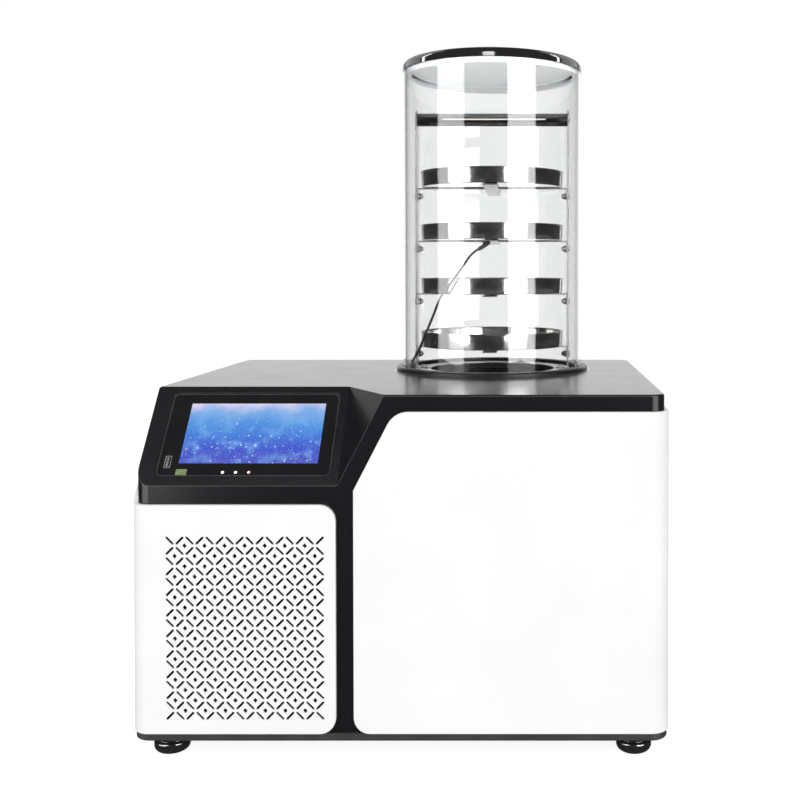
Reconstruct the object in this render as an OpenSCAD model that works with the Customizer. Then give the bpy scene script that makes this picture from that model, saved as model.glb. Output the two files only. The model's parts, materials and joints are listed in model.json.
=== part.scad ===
// Bench-top freeze dryer with a top-mounted drying jar and a four-tray rack.
// Millimetres, +Z up, +X right, front at -Y, origin on the bench below the middle of the bounding box.

/* [Cabinet] */
// Width over the white side panels
cab_w = 565; // [525:5:640]
// Depth from the front panels to the back of the rear panel
cab_d = 445; // [420:5:480]
// Height of the deck above the bench
deck_z = 382.5; // [370:2.5:410]
// Radius of the vertical corners of the white panels
corner_r = 20; // [12:1:26]
// How far the white panels stand proud of the black cover
panel_proud = 4.5; // [3:0.5:8]
// Sheet thickness of the white panels
panel_t = 1.5; // [1:0.1:2.5]
// Wall of the black cover
cover_t = 3; // [2.5:0.25:4]
// Sheet thickness of the rear panel
rear_t = 2; // [1.5:0.25:3]
// Height of the base pan's visible strip
pan_h = 8; // [6:0.5:14]
// Distance of the base pan's strip behind the face of the white panels
pan_inset = 1.5; // [1:0.25:4]
// Sheet thickness of the base pan
pan_t = 2; // [1.5:0.25:3]

/* [Front layout] */
// Width of the left front panel
left_panel_w = 215.8; // [200:0.1:230]
// Width of the black band between the front panels
divider_w = 18.5; // [12:0.5:26]
// Height of the left front panel's top edge above the bench
left_panel_top = 268; // [262:1:276]
// Height of the black band between the left panel and the console slope
console_band = 19; // [14:0.5:24]
// Height of the black band above the right panel
cover_band = 17.5; // [12:0.5:24]
// Height where the right panel's slanted edge starts
slant_edge_z = 283; // [276:1:300]
// Angle of the right panel's slanted edge from the bench
slant_edge_angle = 62.6; // [58:0.2:68]
// Horizontal depth of the console slope
console_setback = 78; // [66:1:88]

/* [Grille] */
// Columns of slots
grille_columns = 16; // [10:2:16]
// Rows of slots
grille_rows = 18; // [10:2:18]
// Distance between columns
grille_pitch_x = 10.43; // [10:0.05:11]
// Distance between rows
grille_pitch_z = 10.8; // [10.4:0.05:11]
// Length of one slot
slot_l = 11.8; // [8:0.2:12]
// Width of one slot
slot_w = 2.4; // [1.2:0.1:2.8]
// Width of the small diamond hole
diamond_w = 4.8; // [3:0.1:5]
// Height of the small diamond hole
diamond_h = 5.7; // [4:0.1:6.5]
// Distance from the left panel's outer side to the grille
grille_side = 37.9; // [30:0.1:40]
// Distance from the left panel's bottom edge to the grille
grille_base = 14; // [10:0.5:30]

/* [Console] */
// Width of the bezel panel
bezel_w = 185; // [178:1:190]
// Height of the bezel panel along the slope
bezel_h = 103; // [100:1:106]
// Sheet thickness of the bezel panel
bezel_t = 1.5; // [1:0.1:2]
// Depth of the pocket that the bezel sits in
pocket_depth = 2.2; // [2:0.1:2.4]
// Distance from the bezel's right edge to the end of the slope
bezel_side = 8.5; // [6:0.5:12]
// Distance from the slope's lower edge to the bezel
bezel_base = 11.5; // [9:0.5:14]
// Width of the screen
screen_w = 148; // [140:1:152]
// Height of the screen
screen_h = 75; // [68:1:78]
// Diameter of an indicator lamp
lamp_d = 2.9; // [2:0.1:4]
// Distance between the indicator lamps
lamp_pitch = 13.8; // [10:0.2:16]

/* [Feet] */
// Height of the feet
foot_h = 20; // [16:1:30]
// Diameter of a foot
foot_d = 38; // [30:1:46]
// Distance from the cabinet's side to a foot's centre
foot_inset_x = 35.7; // [30:0.1:50]
// Distance from the cabinet's front to a front foot's centre
foot_inset_front = 29; // [28:1:60]
// Distance from the cabinet's back to a rear foot's centre
foot_inset_rear = 39; // [34:1:60]

/* [Chamber] */
// Distance of the jar's axis to the right of the cabinet's middle
jar_x = 85.5; // [80:0.5:92]
// Gap between the deck ring's flange and the inside of the cover's back
ring_gap = 1; // [0.5:0.5:30]
// Outer diameter of the jar
jar_d = 236; // [216:1:240]
// Wall of the jar
jar_wall = 5; // [4:0.5:6]
// Length of the jar tube
jar_len = 386; // [372:2:400]
// How far the jar seal stands out past the jar
seal_overhang = 8; // [6:0.5:9]
// Height of the seal's seat under the jar
seal_seat = 3.5; // [2.5:0.25:5]
// Width of the deck ring around the seal
ring_margin = 5; // [3.5:0.5:8]
// Thickness of the lid
lid_t = 9.6; // [8:0.2:14]
// Rounding of the lid's upper edge
lid_round = 7; // [4:0.5:7.5]
// Thickness of the gasket between jar and lid
gasket_t = 3; // [2:0.25:4]
// Distance from the jar's inner wall in to the cold trap's
trap_inset = 17; // [15:1:23]
// Depth of the cold trap
trap_depth = 150; // [130:2:170]
// Thickness of the foam around the cold trap
foam_t = 23; // [16:1:26]
// Diameter of the evaporator tube
coil_d = 9.5; // [8:0.5:10]
// Turns of the evaporator tube
coil_turns = 5; // [3:1:5]

/* [Rack] */
// Gap between a post and the jar's inner wall, on the rack's middle line
post_gap = 12.6; // [11:0.2:14]
// Width of a post
post_w = 20; // [14:1:24]
// Thickness of the rack's strips
strip_t = 1.5; // [1:0.1:1.7]
// Height of the posts
post_h = 340; // [326:2:350]
// Width of a tray shelf's strips
shelf_w = 18; // [12:1:22]
// Diameter of the rack's top tube
tube_d = 17; // [10:1:18]
// Gap between a tray's rim and a post's middle plane
tray_gap = 5.4; // [4.4:0.2:10]
// How far a tray's wall leans out from floor to rim
tray_taper = 2; // [2:0.5:8]
// Height of a tray
tray_h = 20.5; // [16:0.5:30]
// Sheet thickness of a tray
tray_t = 1; // [0.8:0.1:1.5]
// Distance from one tray to the next
tray_pitch = 69.5; // [60:0.5:72]
// Height of the lowest tray above the deck
tray_first = 30.5; // [26:0.5:34]

/* [Services] */
// How far the vacuum port stands out of the back
port_reach = 30; // [24:1:40]
// Inner radius of the vacuum port
port_r = 12.5; // [10:0.5:14]
// Wall of the vacuum port pipe
port_wall = 1.5; // [1:0.25:2.5]
// Height of the vacuum port above the bench
port_z = 336; // [332:1:342]
// Radius of the drain outlet spigot
spigot_r = 5; // [4:0.5:6]
// Height of the drain outlet above the bench
drain_z = 60; // [52:1:80]

/* [Cooling] */
// Radius of the fan over its blades
fan_r = 76; // [66:1:80]
// Number of fan blades
fan_blades = 5; // [4:1:7]
// Radius of the compressor's shell
comp_r = 72; // [60:1:76]
// Height of the compressor's shell
comp_h = 165; // [150:5:185]

/* [Fits] */
// Radial clearance of turning parts
run_gap = 0.05; // [0.02:0.01:0.1]
// Clearance between pieces that are fitted together
fit_gap = 0.3; // [0.2:0.05:0.4]

/* [Hidden] */
$fn = 64;
arc_steps = 8;
hull_fn = 32;
through = 2;           // how far a cutter runs past the faces it cuts
front_y = -(cab_d + port_reach) / 2;
rear_y = front_y + cab_d;
side_x = cab_w / 2;
pan_z = foot_h;
panel_z = foot_h + pan_h;
pan_floor_z = pan_z + pan_t;
panel_top_z = deck_z - cover_band;
cover_front_y = front_y + panel_proud;
cover_side_x = side_x - panel_proud;
cover_rear_y = rear_y - rear_t;
foot_stud_l = 4;
divider_x = -side_x + left_panel_w;
right_panel_x = divider_x + divider_w;
left_corner_r = 17;    // rounded corners of the left panel
right_corner_r = 17;   // rounded corners of the right panel
crown_r = 24;          // rounding where the slanted edge meets the top edge

// Console frame: origin on the slope's lower edge, X along it, Y up the slope, Z outwards
console_z = left_panel_top + console_band;
console_rise = deck_z - console_z;
console_angle = atan2(console_rise, console_setback);
console_l = norm([console_rise, console_setback]);
slant_run = 1 / tan(slant_edge_angle);
slant_band = divider_w - 1.1;       // black band along the slanted edge
band_shift = slant_band / sin(slant_edge_angle);
cheek_x = right_panel_x + (console_z - slant_edge_z) * slant_run - band_shift;
cheek_dx = console_rise * slant_run;
bezel_x = cheek_x - bezel_side - bezel_w / 2;
bezel_y = bezel_base + bezel_h / 2;
bezel_r = 7;
bezel_ledge = 3;
bezel_top = bezel_t - pocket_depth;   // bezel surface, measured from the slope
screen_shift = [3.4, 1.7];           // screen's centre from the bezel's
screen_x = bezel_x + screen_shift.x;
screen_y = bezel_y + screen_shift.y;
screen_sink = 0.5;
display_border = [5.8, 7];
display_t = 10;
lamp_rise = 5.2;
lamp_shift = 7.9;
lamp_y = bezel_base + lamp_rise;
lamp_x = bezel_x - lamp_shift;
lamp_flange_d = 4;
lamp_flange_t = 1;
usb_margin = 10.6;
usb_rise = 17.5;
usb_x = bezel_x - bezel_w / 2 + usb_margin;
usb_y = bezel_base + usb_rise;
usb_w = 7;
usb_h = 14.5;
usb_depth = 14;
usb_wall = 0.6;
usb_flange = 1.2;
usb_tongue = 1.8;
sticker_size = [11.6, 7];
sticker_t = 0.2;
sticker_shift = 57.5;
sticker_pos = [lamp_x - sticker_shift, lamp_y];
board_size = [130, 70];
board_t = 1.6;
board_gap = 8;
standoff_r = 3;
standoff_inset = 6;
large_chip = [24, 24, 3];
large_chip_pos = [-30, -10];
small_chip = [16, 12, 6];
small_chip_pos = [20, 5];

// Chamber stack, from the deck downwards and upwards
jar_r = jar_d / 2;
jar_in_r = jar_r - jar_wall;
seal_r = jar_r + seal_overhang;
trap_r = jar_in_r - trap_inset;
seal_lip = 2.7;
seal_in_r = jar_in_r - fit_gap - seal_lip;
seal_lip_h = 1.8;
seal_bevel = 2;
jar_z = deck_z + seal_seat;
jar_top_z = jar_z + jar_len;
gasket_in_r = jar_in_r - 7;
gasket_drop = 6;
liner_t = 1.5;
lid_z = jar_top_z + gasket_t;
ring_r = seal_r + ring_margin;
ring_flange_w = 4;
ring_flange_r = ring_r + ring_flange_w;
jar_y = cover_rear_y - cover_t - ring_gap - ring_flange_r;
ring_flange_t = 5;
ring_z = deck_z - cover_t - ring_flange_t;
pot_t = 1;
pot_flange_w = 12;
pot_floor_z = ring_z - pot_t - trap_depth;
coil_steps = 24;       // straight lengths in one turn
coil_r = (trap_r + pot_t + fit_gap + coil_d / 2) / cos(180 / coil_steps);
coil_pitch = 13;
coil_z = pot_floor_z + 14;
coil_end_x = jar_x - coil_r - coil_d / 2 - fit_gap;
coil_top_z = coil_z + coil_turns * coil_pitch;
foam_in_r = max(coil_r + coil_d / 2 + fit_gap, trap_r + pot_flange_w + fit_gap);
foam_r = foam_in_r + foam_t;
foam_floor_t = 32;
foam_z = pot_floor_z - pot_t - foam_floor_t;
pipe_r = port_r + port_wall;

// Rack, measured from the deck ring's top
post_x = jar_in_r - post_gap;
tray_r = post_x - tray_gap;
tray_floor_r = tray_r - tray_taper;
rack_ring_w = 21;
rack_ring_r = post_x + 2.6;
rack_z = deck_z + strip_t;
post_in_x = post_x - strip_t / 2;
foot_tab = 16;
tube_z = rack_z + post_h - 12;
tray_z = [for (i = [0 : 3]) deck_z + tray_first + i * tray_pitch];
shelf_leg = 16;
bolt_drop = 10.5;
bolt_r = 2;
bolt_hole_r = bolt_r + fit_gap;
screw_head_r = 3.6;
screw_head_t = 2;
nut_r = 4;
nut_t = 3.2;
dome_r = 3.2;
bead_r = 1;
tab_screw_x = post_x - 9;
tube_screw_l = 12;

// Probe lead, from the gland on the deck up to the probe under the third tray from the bottom
probe_d = 3;
probe_tray_z = tray_z[2];
gland_pos = [-101.5, -32.3];
gland_r = 3;
gland_h = 7;
probe_clip = [9, 9, 4];
probe_clip_pos = [-4, -84];
probe_head_d = 5;
probe_head_l = 13;
cable_route = [
    [-101.5, -32.3, 7], [-101.5, -32.3, 8.5], [-101.5, -32.3, 10.5], [-100.6, -33, 13.5], [-97.8, -35.8, 18],
    [-94, -41, 24],
    [-90.3, -46.3, 30], [-86.6, -53.4, 38], [-80.7, -62.4, 50.4], [-74.2, -70, 64.8], [-69.4, -74, 76.3],
    [-65, -77.8, 87], [-60, -81.2, 97.9], [-49.5, -87.4, 111.7], [-39.3, -92, 125.4], [-31.5, -94, 136.5],
    [-24.5, -93.1, 147], [-18.25, -90.3, 153.5], [-15.875, -89.25, 155], [-13.5, -88.2, 156.5]
];

// Services on the back
rear_inset = 22;
rear_base = panel_z + 6;
rear_top = deck_z - 16;
rear_corner_r = 8;
rear_ledge = 10;      // overlap of the rear panel on the cover
rear_screw_inset = 6;
louvre_l = 56;
louvre_h = 4;
louvre_pitch = 12;
louvre_rows = 14;
louvre_side = 84;
louvre_step = 68;
louvre_x = [for (i = [0 : 2]) -side_x + louvre_side + i * louvre_step];
louvre_z = 60;
port_flange_r = 20;
port_flange_t = 3;
port_taper = 4;
port_weld = 1;         // gap between the cold trap and the vacuum port's pipe
vent_side = 50;
vent_drop = 6;
vent_pos = [jar_x + vent_side, port_z - vent_drop];
vent_body_r = 8;
vent_body_l = 15;
vent_stem_r = 3;
vent_stem_l = 11;
vent_tail = 14;
vent_nut_t = 4;
vent_line_r = 2.5;
nipple_l = 15;
nipple_collar_r = 4.5;
nipple_collar_t = 1;
nipple_place = 10;     // distance of the nipple behind the rear panel
knob_r = 11;
knob_l = 12;
knob_wall = 2;
knob_flutes = 12;
flute_r = 2;
drain_body_r = 9;
drain_body_l = 14;
drain_pipe_r = 6;
drain_bend_r = 18;
drain_bore_r = 3;
stem_r = 3;
stem_h = 8;
handle_l = 42;
handle_w = 8;
handle_t = 3;
handle_hub_r = 5.5;
handle_rise = 1;
inlet_side = 77.5;
socket_z = 70;
inlet_pos = [side_x - inlet_side, socket_z];
inlet_plate = [50, 28];
inlet_open = [26, 18];
inlet_depth = 16;
inlet_wall = 2;
inlet_screw_x = 20;
contact_size = [2, 4];
contact_l = 7;
contact_places = [[-7, -3], [7, -3], [0, 3]];
outlet_side = 142.5;
outlet_pos = [side_x - outlet_side, socket_z];
socket_plate_t = 2;
switch_z = 112;
switch_pos = [inlet_pos.x, switch_z];
switch_open = [13, 27];
switch_rim = 4;
switch_depth = 14;
switch_wall = 1;
rocker_r = 13;
rocker_gap = 0.4;
rocker_sink = 6;
rocker_tilt = 12;
rocker_base = 4;
rocker_pin_r = 1.5;
rear_screw_r = 3.5;
rear_screw_t = 2;
driver_slot = [1, 1.6];

// Cooling system behind the grille
grille_x = -side_x + grille_side;
grille_w = grille_columns * grille_pitch_x;
grille_h = grille_rows * grille_pitch_z;
grille_z = panel_z + grille_base;
grille_mid = [grille_x + grille_w / 2, grille_z + grille_h / 2];
vent_open = [grille_w + 8, grille_h + 6];
cond_size = [182, 34, 176];
cond_y = cover_front_y + 2 * cover_t + 1;
cond_x = grille_mid.x;
cond_foot_h = 20;
cond_foot_w = 16;
cond_foot_inset = 20;
cond_z = pan_floor_z + cond_foot_h;
fin_t = 2.5;
fin_count = 18;
cond_rows = 6;
cond_tube_r = 4.5;
shroud_y = cond_y + cond_size.y + 1;
shroud_t = 2;
shroud_ring_l = 34;
shroud_z = pan_floor_z;
shroud_top = cond_z + cond_size.z;
arm_angles = [90, 210, 330];
arm_root = 3;
fan_z = (cond_z + shroud_top) / 2;
fan_tip_gap = 4;
hub_r = 22;
hub_l = 26;
hub_cap = 4;
blade_t = 2;
blade_pitch = 28;
shaft_r = 4;
fan_y = shroud_y + 4;
motor_r = 32;
motor_l = 42;
motor_y = fan_y + hub_l + 2;
arm_w = 10;
arm_t = 3;
comp_rear = 162;
comp_y = rear_y - comp_rear;
comp_x = cond_x;
grommet_h = 14;
grommet_r = 12;
comp_plate = [170, 120];
comp_plate_t = 4;
comp_z = pan_floor_z + grommet_h + comp_plate_t;
comp_hole_r = 5;
terminal_box = [26, 40, 34];
terminal_sink = 8;
seam_size = [3, 4];
stub_h = 3;
discharge_stub = [28, -20];
suction_stub = [30, 16];
drier_r = 11;
drier_l = 90;
drier_gap = 16.7;
drier_x = jar_x - foam_r - drier_gap;
drier_y = shroud_y + shroud_ring_l + 2 * drier_r;
drier_z = 120;
supply_size = [150, 90, 70];
supply_side = 210;
supply_front = 40;
supply_pos = [side_x - supply_side, cover_front_y + supply_front];
supply_slots = 10;
supply_slot = [4, 50, 6];
pipe_sides = 8;
copper_r = 4;
capillary_r = 1.5;

// ---- helpers ----

function unit(v) = v / norm(v);

// Arc points that round the corner at b between a and c
function corner_arc(a, b, c, r) =
    let (
        u = unit(a - b),
        w = unit(c - b),
        half = acos(u * w) / 2,
        centre = b + unit(u + w) * r / sin(half),
        first = b + u * r / tan(half) - centre,
        last = b + w * r / tan(half) - centre,
        from = atan2(first.y, first.x),
        sweep = (atan2(last.y, last.x) - from + 540) % 360 - 180
    )
    [for (i = [0 : arc_steps]) centre + r * [cos(from + sweep * i / arc_steps),
                                             sin(from + sweep * i / arc_steps)]];

// Outline through [x, y, corner radius] points
function rounded(points) =
    let (n = len(points))
    [for (i = [0 : n - 1])
        let (a = points[(i + n - 1) % n], b = points[i], c = points[(i + 1) % n])
        each b.z > 0
            ? corner_arc([a.x, a.y], [b.x, b.y], [c.x, c.y], b.z)
            : [[b.x, b.y]]];

// Rounded rectangle outline about a centre
function rounded_box(size, r, mid = [0, 0]) = rounded([
    [mid.x - size.x / 2, mid.y - size.y / 2, r], [mid.x + size.x / 2, mid.y - size.y / 2, r],
    [mid.x + size.x / 2, mid.y + size.y / 2, r], [mid.x - size.x / 2, mid.y + size.y / 2, r]
]);

// Point on a smooth curve through a route, at step t between points i and i + 1
function route_point(p, i, t) =
    let (
        n = len(p),
        p0 = p[max(i - 1, 0)],
        p1 = p[i],
        p2 = p[min(i + 1, n - 1)],
        p3 = p[min(i + 2, n - 1)]
    )
    0.5 * (2 * p1 + (p2 - p0) * t + (2 * p0 - 5 * p1 + 4 * p2 - p3) * t * t
           + (3 * p1 - p0 - 3 * p2 + p3) * t * t * t);

function smooth_route(p, steps) = concat(
    [for (i = [0 : len(p) - 2], k = [0 : steps - 1]) route_point(p, i, k / steps)],
    [p[len(p) - 1]]
);

// Directions across each ring of a tube, carried along the path so that it doesn't twist
function across(axis, last) = unit(last - (last * axis) * axis);
function path_axis(p, i) = unit(p[min(i + 1, len(p) - 1)] - p[max(i - 1, 0)]);
function path_sides(p, i, last) =
    i == len(p) ? [] : let (side = across(path_axis(p, i), last)) concat([side], path_sides(p, i + 1, side));

// Solid tube or rod swept along a path
module sweep_tube(path, r, start_side = [0.31, 0.95, 0.05]) {
    sides = path_sides(path, 0, start_side);
    last = len(path) - 1;
    points = [for (i = [0 : last], k = [0 : pipe_sides - 1])
        let (axis = path_axis(path, i), u = sides[i], v = cross(axis, u), a = 360 * k / pipe_sides)
        path[i] + r * (cos(a) * u + sin(a) * v)];
    walls = [for (i = [0 : last - 1], k = [0 : pipe_sides - 1])
        let (a = i * pipe_sides + k, b = i * pipe_sides + (k + 1) % pipe_sides)
        each [[a, b + pipe_sides, b], [a, a + pipe_sides, b + pipe_sides]]];
    caps = [[for (k = [0 : pipe_sides - 1]) k],
            [for (k = [pipe_sides - 1 : -1 : 0]) last * pipe_sides + k]];
    polyhedron(points, concat(walls, caps));
}

module at_jar(z = 0) translate([jar_x, jar_y, z]) children();

module on_console() translate([0, cover_front_y, console_z]) rotate([console_angle, 0, 0]) children();

// Places children on the back with +Z pointing backwards and X kept
module on_back(pos, y = rear_y) translate([pos.x, y, pos.y]) rotate([-90, 0, 0]) children();

// Plan of the cabinet, inset from the white panels' outer face
module cabinet_plan(inset, back = rear_y) {
    r = corner_r - inset;
    size = [cab_w - 2 * inset, back - front_y - inset];
    translate([0, front_y + inset + size.y / 2]) {
        square([size.x - 2 * r, size.y], center = true);
        square([size.x, size.y - 2 * r], center = true);
        for (x = [-1, 1], y = [-1, 1])
            translate([x * (size.x / 2 - r), y * (size.y / 2 - r)]) circle(r);
    }
}

// ---- cabinet ----

module base_pan() color([0.1, 0.1, 0.11]) {
    chamfer = 1;
    difference() {
        hull() {
            translate([0, 0, pan_z + chamfer]) linear_extrude(pan_h - chamfer)
                cabinet_plan(pan_inset, cover_rear_y, $fn = hull_fn);
            translate([0, 0, pan_z]) linear_extrude(chamfer)
                cabinet_plan(pan_inset + chamfer, cover_rear_y - chamfer, $fn = hull_fn);
        }
        translate([0, 0, pan_floor_z]) linear_extrude(pan_h)
            cabinet_plan(panel_proud + cover_t, cover_rear_y - 2 * cover_t);
        for (x = [-1, 1], y = [0, 1]) foot_place(x, y)
            cylinder(r = bolt_hole_r, h = 3 * pan_t, center = true);
    }
}

// Wedge cut away in front of the console slope and left of its cheek, grown by a wall thickness
module console_wedge(grow = 0) {
    reach = 3 * console_l;
    edge = unit([cheek_dx, -console_rise * sin(90 - console_angle)]);
    normal = [-edge.y, edge.x];
    apex = [grow * (1 - normal.y) / normal.x, grow];
    far = apex + edge * reach;
    translate([cheek_x, cover_front_y, console_z]) rotate([console_angle - 90, 0, 0])
        translate([0, 0, -console_l]) linear_extrude(3 * console_l)
            polygon([apex, far, [-cab_w, far.y], [-cab_w, apex.y]]);
}

module cover_shell() color([0.09, 0.09, 0.1]) {
    chamfer = 1.5;
    inner = panel_proud + cover_t;
    difference() {
        hull() {
            translate([0, 0, panel_z]) linear_extrude(deck_z - panel_z - chamfer)
                cabinet_plan(panel_proud, cover_rear_y, $fn = hull_fn);
            translate([0, 0, deck_z - chamfer]) linear_extrude(chamfer)
                cabinet_plan(panel_proud + chamfer, cover_rear_y - chamfer, $fn = hull_fn);
        }
        console_wedge();
        difference() {
            translate([0, 0, panel_z - through]) linear_extrude(deck_z - cover_t - panel_z + through)
                cabinet_plan(inner, cover_rear_y - cover_t);
            console_wedge(cover_t);
        }
        at_jar(deck_z - 2 * cover_t) cylinder(r = ring_r + fit_gap, h = 4 * cover_t);
        on_console() console_cutouts();
        translate([grille_mid.x - vent_open.x / 2, front_y, grille_mid.y - vent_open.y / 2])
            cube([vent_open.x, 4 * cover_t, vent_open.y]);
        translate([-side_x + rear_inset + rear_ledge, cover_rear_y - 2 * cover_t, rear_base + rear_ledge])
            cube([cab_w - 2 * (rear_inset + rear_ledge), 4 * cover_t, rear_top - rear_base - 2 * rear_ledge]);
    }
}

module console_cutouts() {
    translate([0, 0, -pocket_depth]) linear_extrude(2 * pocket_depth)
        polygon(rounded_box([bezel_w + 2 * fit_gap, bezel_h + 2 * fit_gap], bezel_r, [bezel_x, bezel_y]));
    translate([0, 0, -4 * cover_t]) linear_extrude(6 * cover_t)
        polygon(rounded_box([bezel_w - 2 * bezel_ledge, bezel_h - 2 * bezel_ledge], bezel_r - bezel_ledge,
                            [bezel_x, bezel_y]));
}

// Wall layer between two insets of the cabinet plan
module cladding_layer(from, to) translate([0, 0, panel_z - through])
    linear_extrude(deck_z) difference() {
        cabinet_plan(from);
        cabinet_plan(to);
    }

// Front face of the left panel, inset by a margin
function left_front_outline(m) = rounded([
    [-side_x - 1, panel_z + m, 0], [divider_x - m, panel_z + m, left_corner_r - m],
    [divider_x - m, left_panel_top - m, left_corner_r - m], [-side_x - 1, left_panel_top - m, 0]
]);

// Side face of the left panel as [distance behind the front, height], with an edge along the console slope
function left_side_outline(m) =
    let (
        shift = (console_band + m) / cos(console_angle),
        back = function (z) panel_proud + (z + shift - console_z) / tan(console_angle)
    )
    rounded([
        [m - 1, panel_z + m, 0], [cab_d - corner_r - m, panel_z + m, 0],
        [cab_d - corner_r - m, panel_top_z - m, 0], [back(panel_top_z - m), panel_top_z - m, crown_r - m],
        [back(left_panel_top - m), left_panel_top - m, 0], [m - 1, left_panel_top - m, 0]
    ]);

module left_panel_space(m) {
    translate([0, front_y + corner_r, 0]) rotate([90, 0, 0]) linear_extrude(corner_r + through)
        polygon(left_front_outline(m));
    translate([-side_x - through, front_y, 0]) rotate([90, 0, 90]) linear_extrude(corner_r + through)
        polygon(left_side_outline(m));
}

module grille_slot(slope) rotate(45 * slope) polygon([
    [-slot_l / 2, 0], [(slot_w - slot_l) / 2, slot_w / 2], [(slot_l - slot_w) / 2, slot_w / 2],
    [slot_l / 2, 0], [(slot_l - slot_w) / 2, -slot_w / 2], [(slot_w - slot_l) / 2, -slot_w / 2]
]);

module grille_pattern() {
    for (row = [0 : grille_rows - 1], column = [0 : grille_columns - 1])
        translate([(column + 0.5) * grille_pitch_x, grille_h - (row + 0.5) * grille_pitch_z])
            grille_slot((row + column) % 2 == 0 ? -1 : 1);
    for (row = [1 : grille_rows - 1], column = [1 : grille_columns - 1])
        if ((row + column) % 2 == 1)
            translate([column * grille_pitch_x, grille_h - row * grille_pitch_z])
                polygon([[-diamond_w / 2, 0], [0, diamond_h / 2], [diamond_w / 2, 0], [0, -diamond_h / 2]]);
}

module left_panel() color([0.95, 0.95, 0.95]) difference() {
    intersection() {
        cladding_layer(0, panel_proud);
        left_panel_space(0);
    }
    intersection() {
        cladding_layer(panel_t, panel_proud + through);
        left_panel_space(panel_t);
    }
    translate([grille_x, front_y + 2 * panel_proud, grille_z]) rotate([90, 0, 0])
        linear_extrude(3 * panel_proud) grille_pattern();
}

function right_front_outline(m) =
    let (
        shift = m / sin(slant_edge_angle),
        edge_x = function (z) right_panel_x + (z - slant_edge_z) * slant_run + shift,
        corner_z = slant_edge_z + (m - shift) / slant_run
    )
    rounded([
        [side_x + 1, panel_z + m, 0], [side_x + 1, panel_top_z - m, 0],
        [edge_x(panel_top_z - m), panel_top_z - m, crown_r - m], [right_panel_x + m, corner_z, 0],
        [right_panel_x + m, panel_z + m, right_corner_r - m]
    ]);

module right_panel_space(m) {
    translate([0, front_y + corner_r, 0]) rotate([90, 0, 0]) linear_extrude(corner_r + through)
        polygon(right_front_outline(m));
    translate([side_x - corner_r, front_y - through, panel_z + m])
        cube([corner_r + through, cab_d - corner_r + through - m, panel_top_z - panel_z - 2 * m]);
}

module right_panel() color([0.95, 0.95, 0.95]) difference() {
    intersection() {
        cladding_layer(0, panel_proud);
        right_panel_space(0);
    }
    intersection() {
        cladding_layer(panel_t, panel_proud + through);
        right_panel_space(panel_t);
    }
}

function rear_mid() = [0, (rear_base + rear_top) / 2];
function rear_size() = [cab_w - 2 * rear_inset, rear_top - rear_base];
function rear_screw_places() = [
    for (x = [-1, 0, 1], z = [-1, 1])
        rear_mid() + [x * (rear_size().x / 2 - rear_screw_inset), z * (rear_size().y / 2 - rear_screw_inset)]
];

module rear_panel() color([0.2, 0.2, 0.21]) on_back([0, 0], cover_rear_y) mirror([0, 1, 0])
    linear_extrude(rear_t) difference() {
        polygon(rounded_box(rear_size(), rear_corner_r, rear_mid()));
        for (x = louvre_x, row = [0 : louvre_rows - 1])
            translate([x, louvre_z + row * louvre_pitch]) square([louvre_l, louvre_h], center = true);
        translate([jar_x, port_z]) circle(pipe_r + fit_gap);
        translate(vent_pos) circle(vent_stem_r + fit_gap);
        translate([jar_x, drain_z]) circle(drain_pipe_r + fit_gap);
        for (pos = [inlet_pos, outlet_pos]) translate(pos)
            square(inlet_open + 2 * [inlet_wall + fit_gap, inlet_wall + fit_gap], center = true);
        translate(switch_pos)
            square(switch_open + 2 * [switch_wall + fit_gap, switch_wall + fit_gap], center = true);
        for (place = rear_screw_places()) translate(place) circle(bolt_hole_r);
    }

module rear_screws() color([0.6, 0.6, 0.62]) for (place = rear_screw_places()) on_back(place) difference() {
    union() {
        cylinder(r = rear_screw_r, h = rear_screw_t);
        translate([0, 0, -rear_t]) cylinder(r = bolt_r, h = rear_t + 1);
    }
    translate([0, 0, rear_screw_t]) cube([2 * rear_screw_r + 1, driver_slot.x, driver_slot.y], center = true);
}

module foot_place(x, y) translate([
    x * (side_x - foot_inset_x),
    y == 0 ? front_y + foot_inset_front : rear_y - foot_inset_rear,
    pan_z
]) children();

// Domed foot with a waist under the pan
module foot(x, y) color([0.12, 0.12, 0.13]) foot_place(x, y) mirror([0, 0, 1]) {
    r = foot_d / 2;
    round_r = foot_h * 0.35;
    flange_h = foot_h * 0.2;
    flange_r = r * 0.92;
    waist_r = r * 0.84;
    waist_end = foot_h * 0.36;
    bulge_start = foot_h * 0.45;
    rotate_extrude() polygon(concat(
        [[0, 0], [flange_r, 0], [waist_r, flange_h], [waist_r, waist_end], [r, bulge_start]],
        corner_arc([r, 0], [r, foot_h], [0, foot_h], round_r),
        [[0, foot_h]]
    ));
    translate([0, 0, -pan_t - foot_stud_l]) cylinder(r = bolt_r, h = pan_t + foot_stud_l + 1);
}

// ---- console ----

module console_bezel() color([0.03, 0.03, 0.03]) on_console() translate([0, 0, -pocket_depth])
    linear_extrude(bezel_t) difference() {
        polygon(rounded_box([bezel_w, bezel_h], bezel_r, [bezel_x, bezel_y]));
        translate([screen_x, screen_y]) square([screen_w, screen_h], center = true);
        translate([usb_x, usb_y]) square([usb_w + 2 * fit_gap, usb_h + 2 * fit_gap], center = true);
        for (i = [-1 : 1]) translate([lamp_x + i * lamp_pitch, lamp_y]) circle(lamp_d / 2 + run_gap);
    }

module touch_display() color([0.25, 0.45, 0.85]) on_console() {
    translate([screen_x, screen_y, -pocket_depth]) linear_extrude(bezel_t - screen_sink)
        square([screen_w - 2 * fit_gap, screen_h - 2 * fit_gap], center = true);
    translate([screen_x, screen_y, -pocket_depth - display_t]) linear_extrude(display_t)
        square([screen_w, screen_h] + 2 * display_border, center = true);
}

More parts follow.
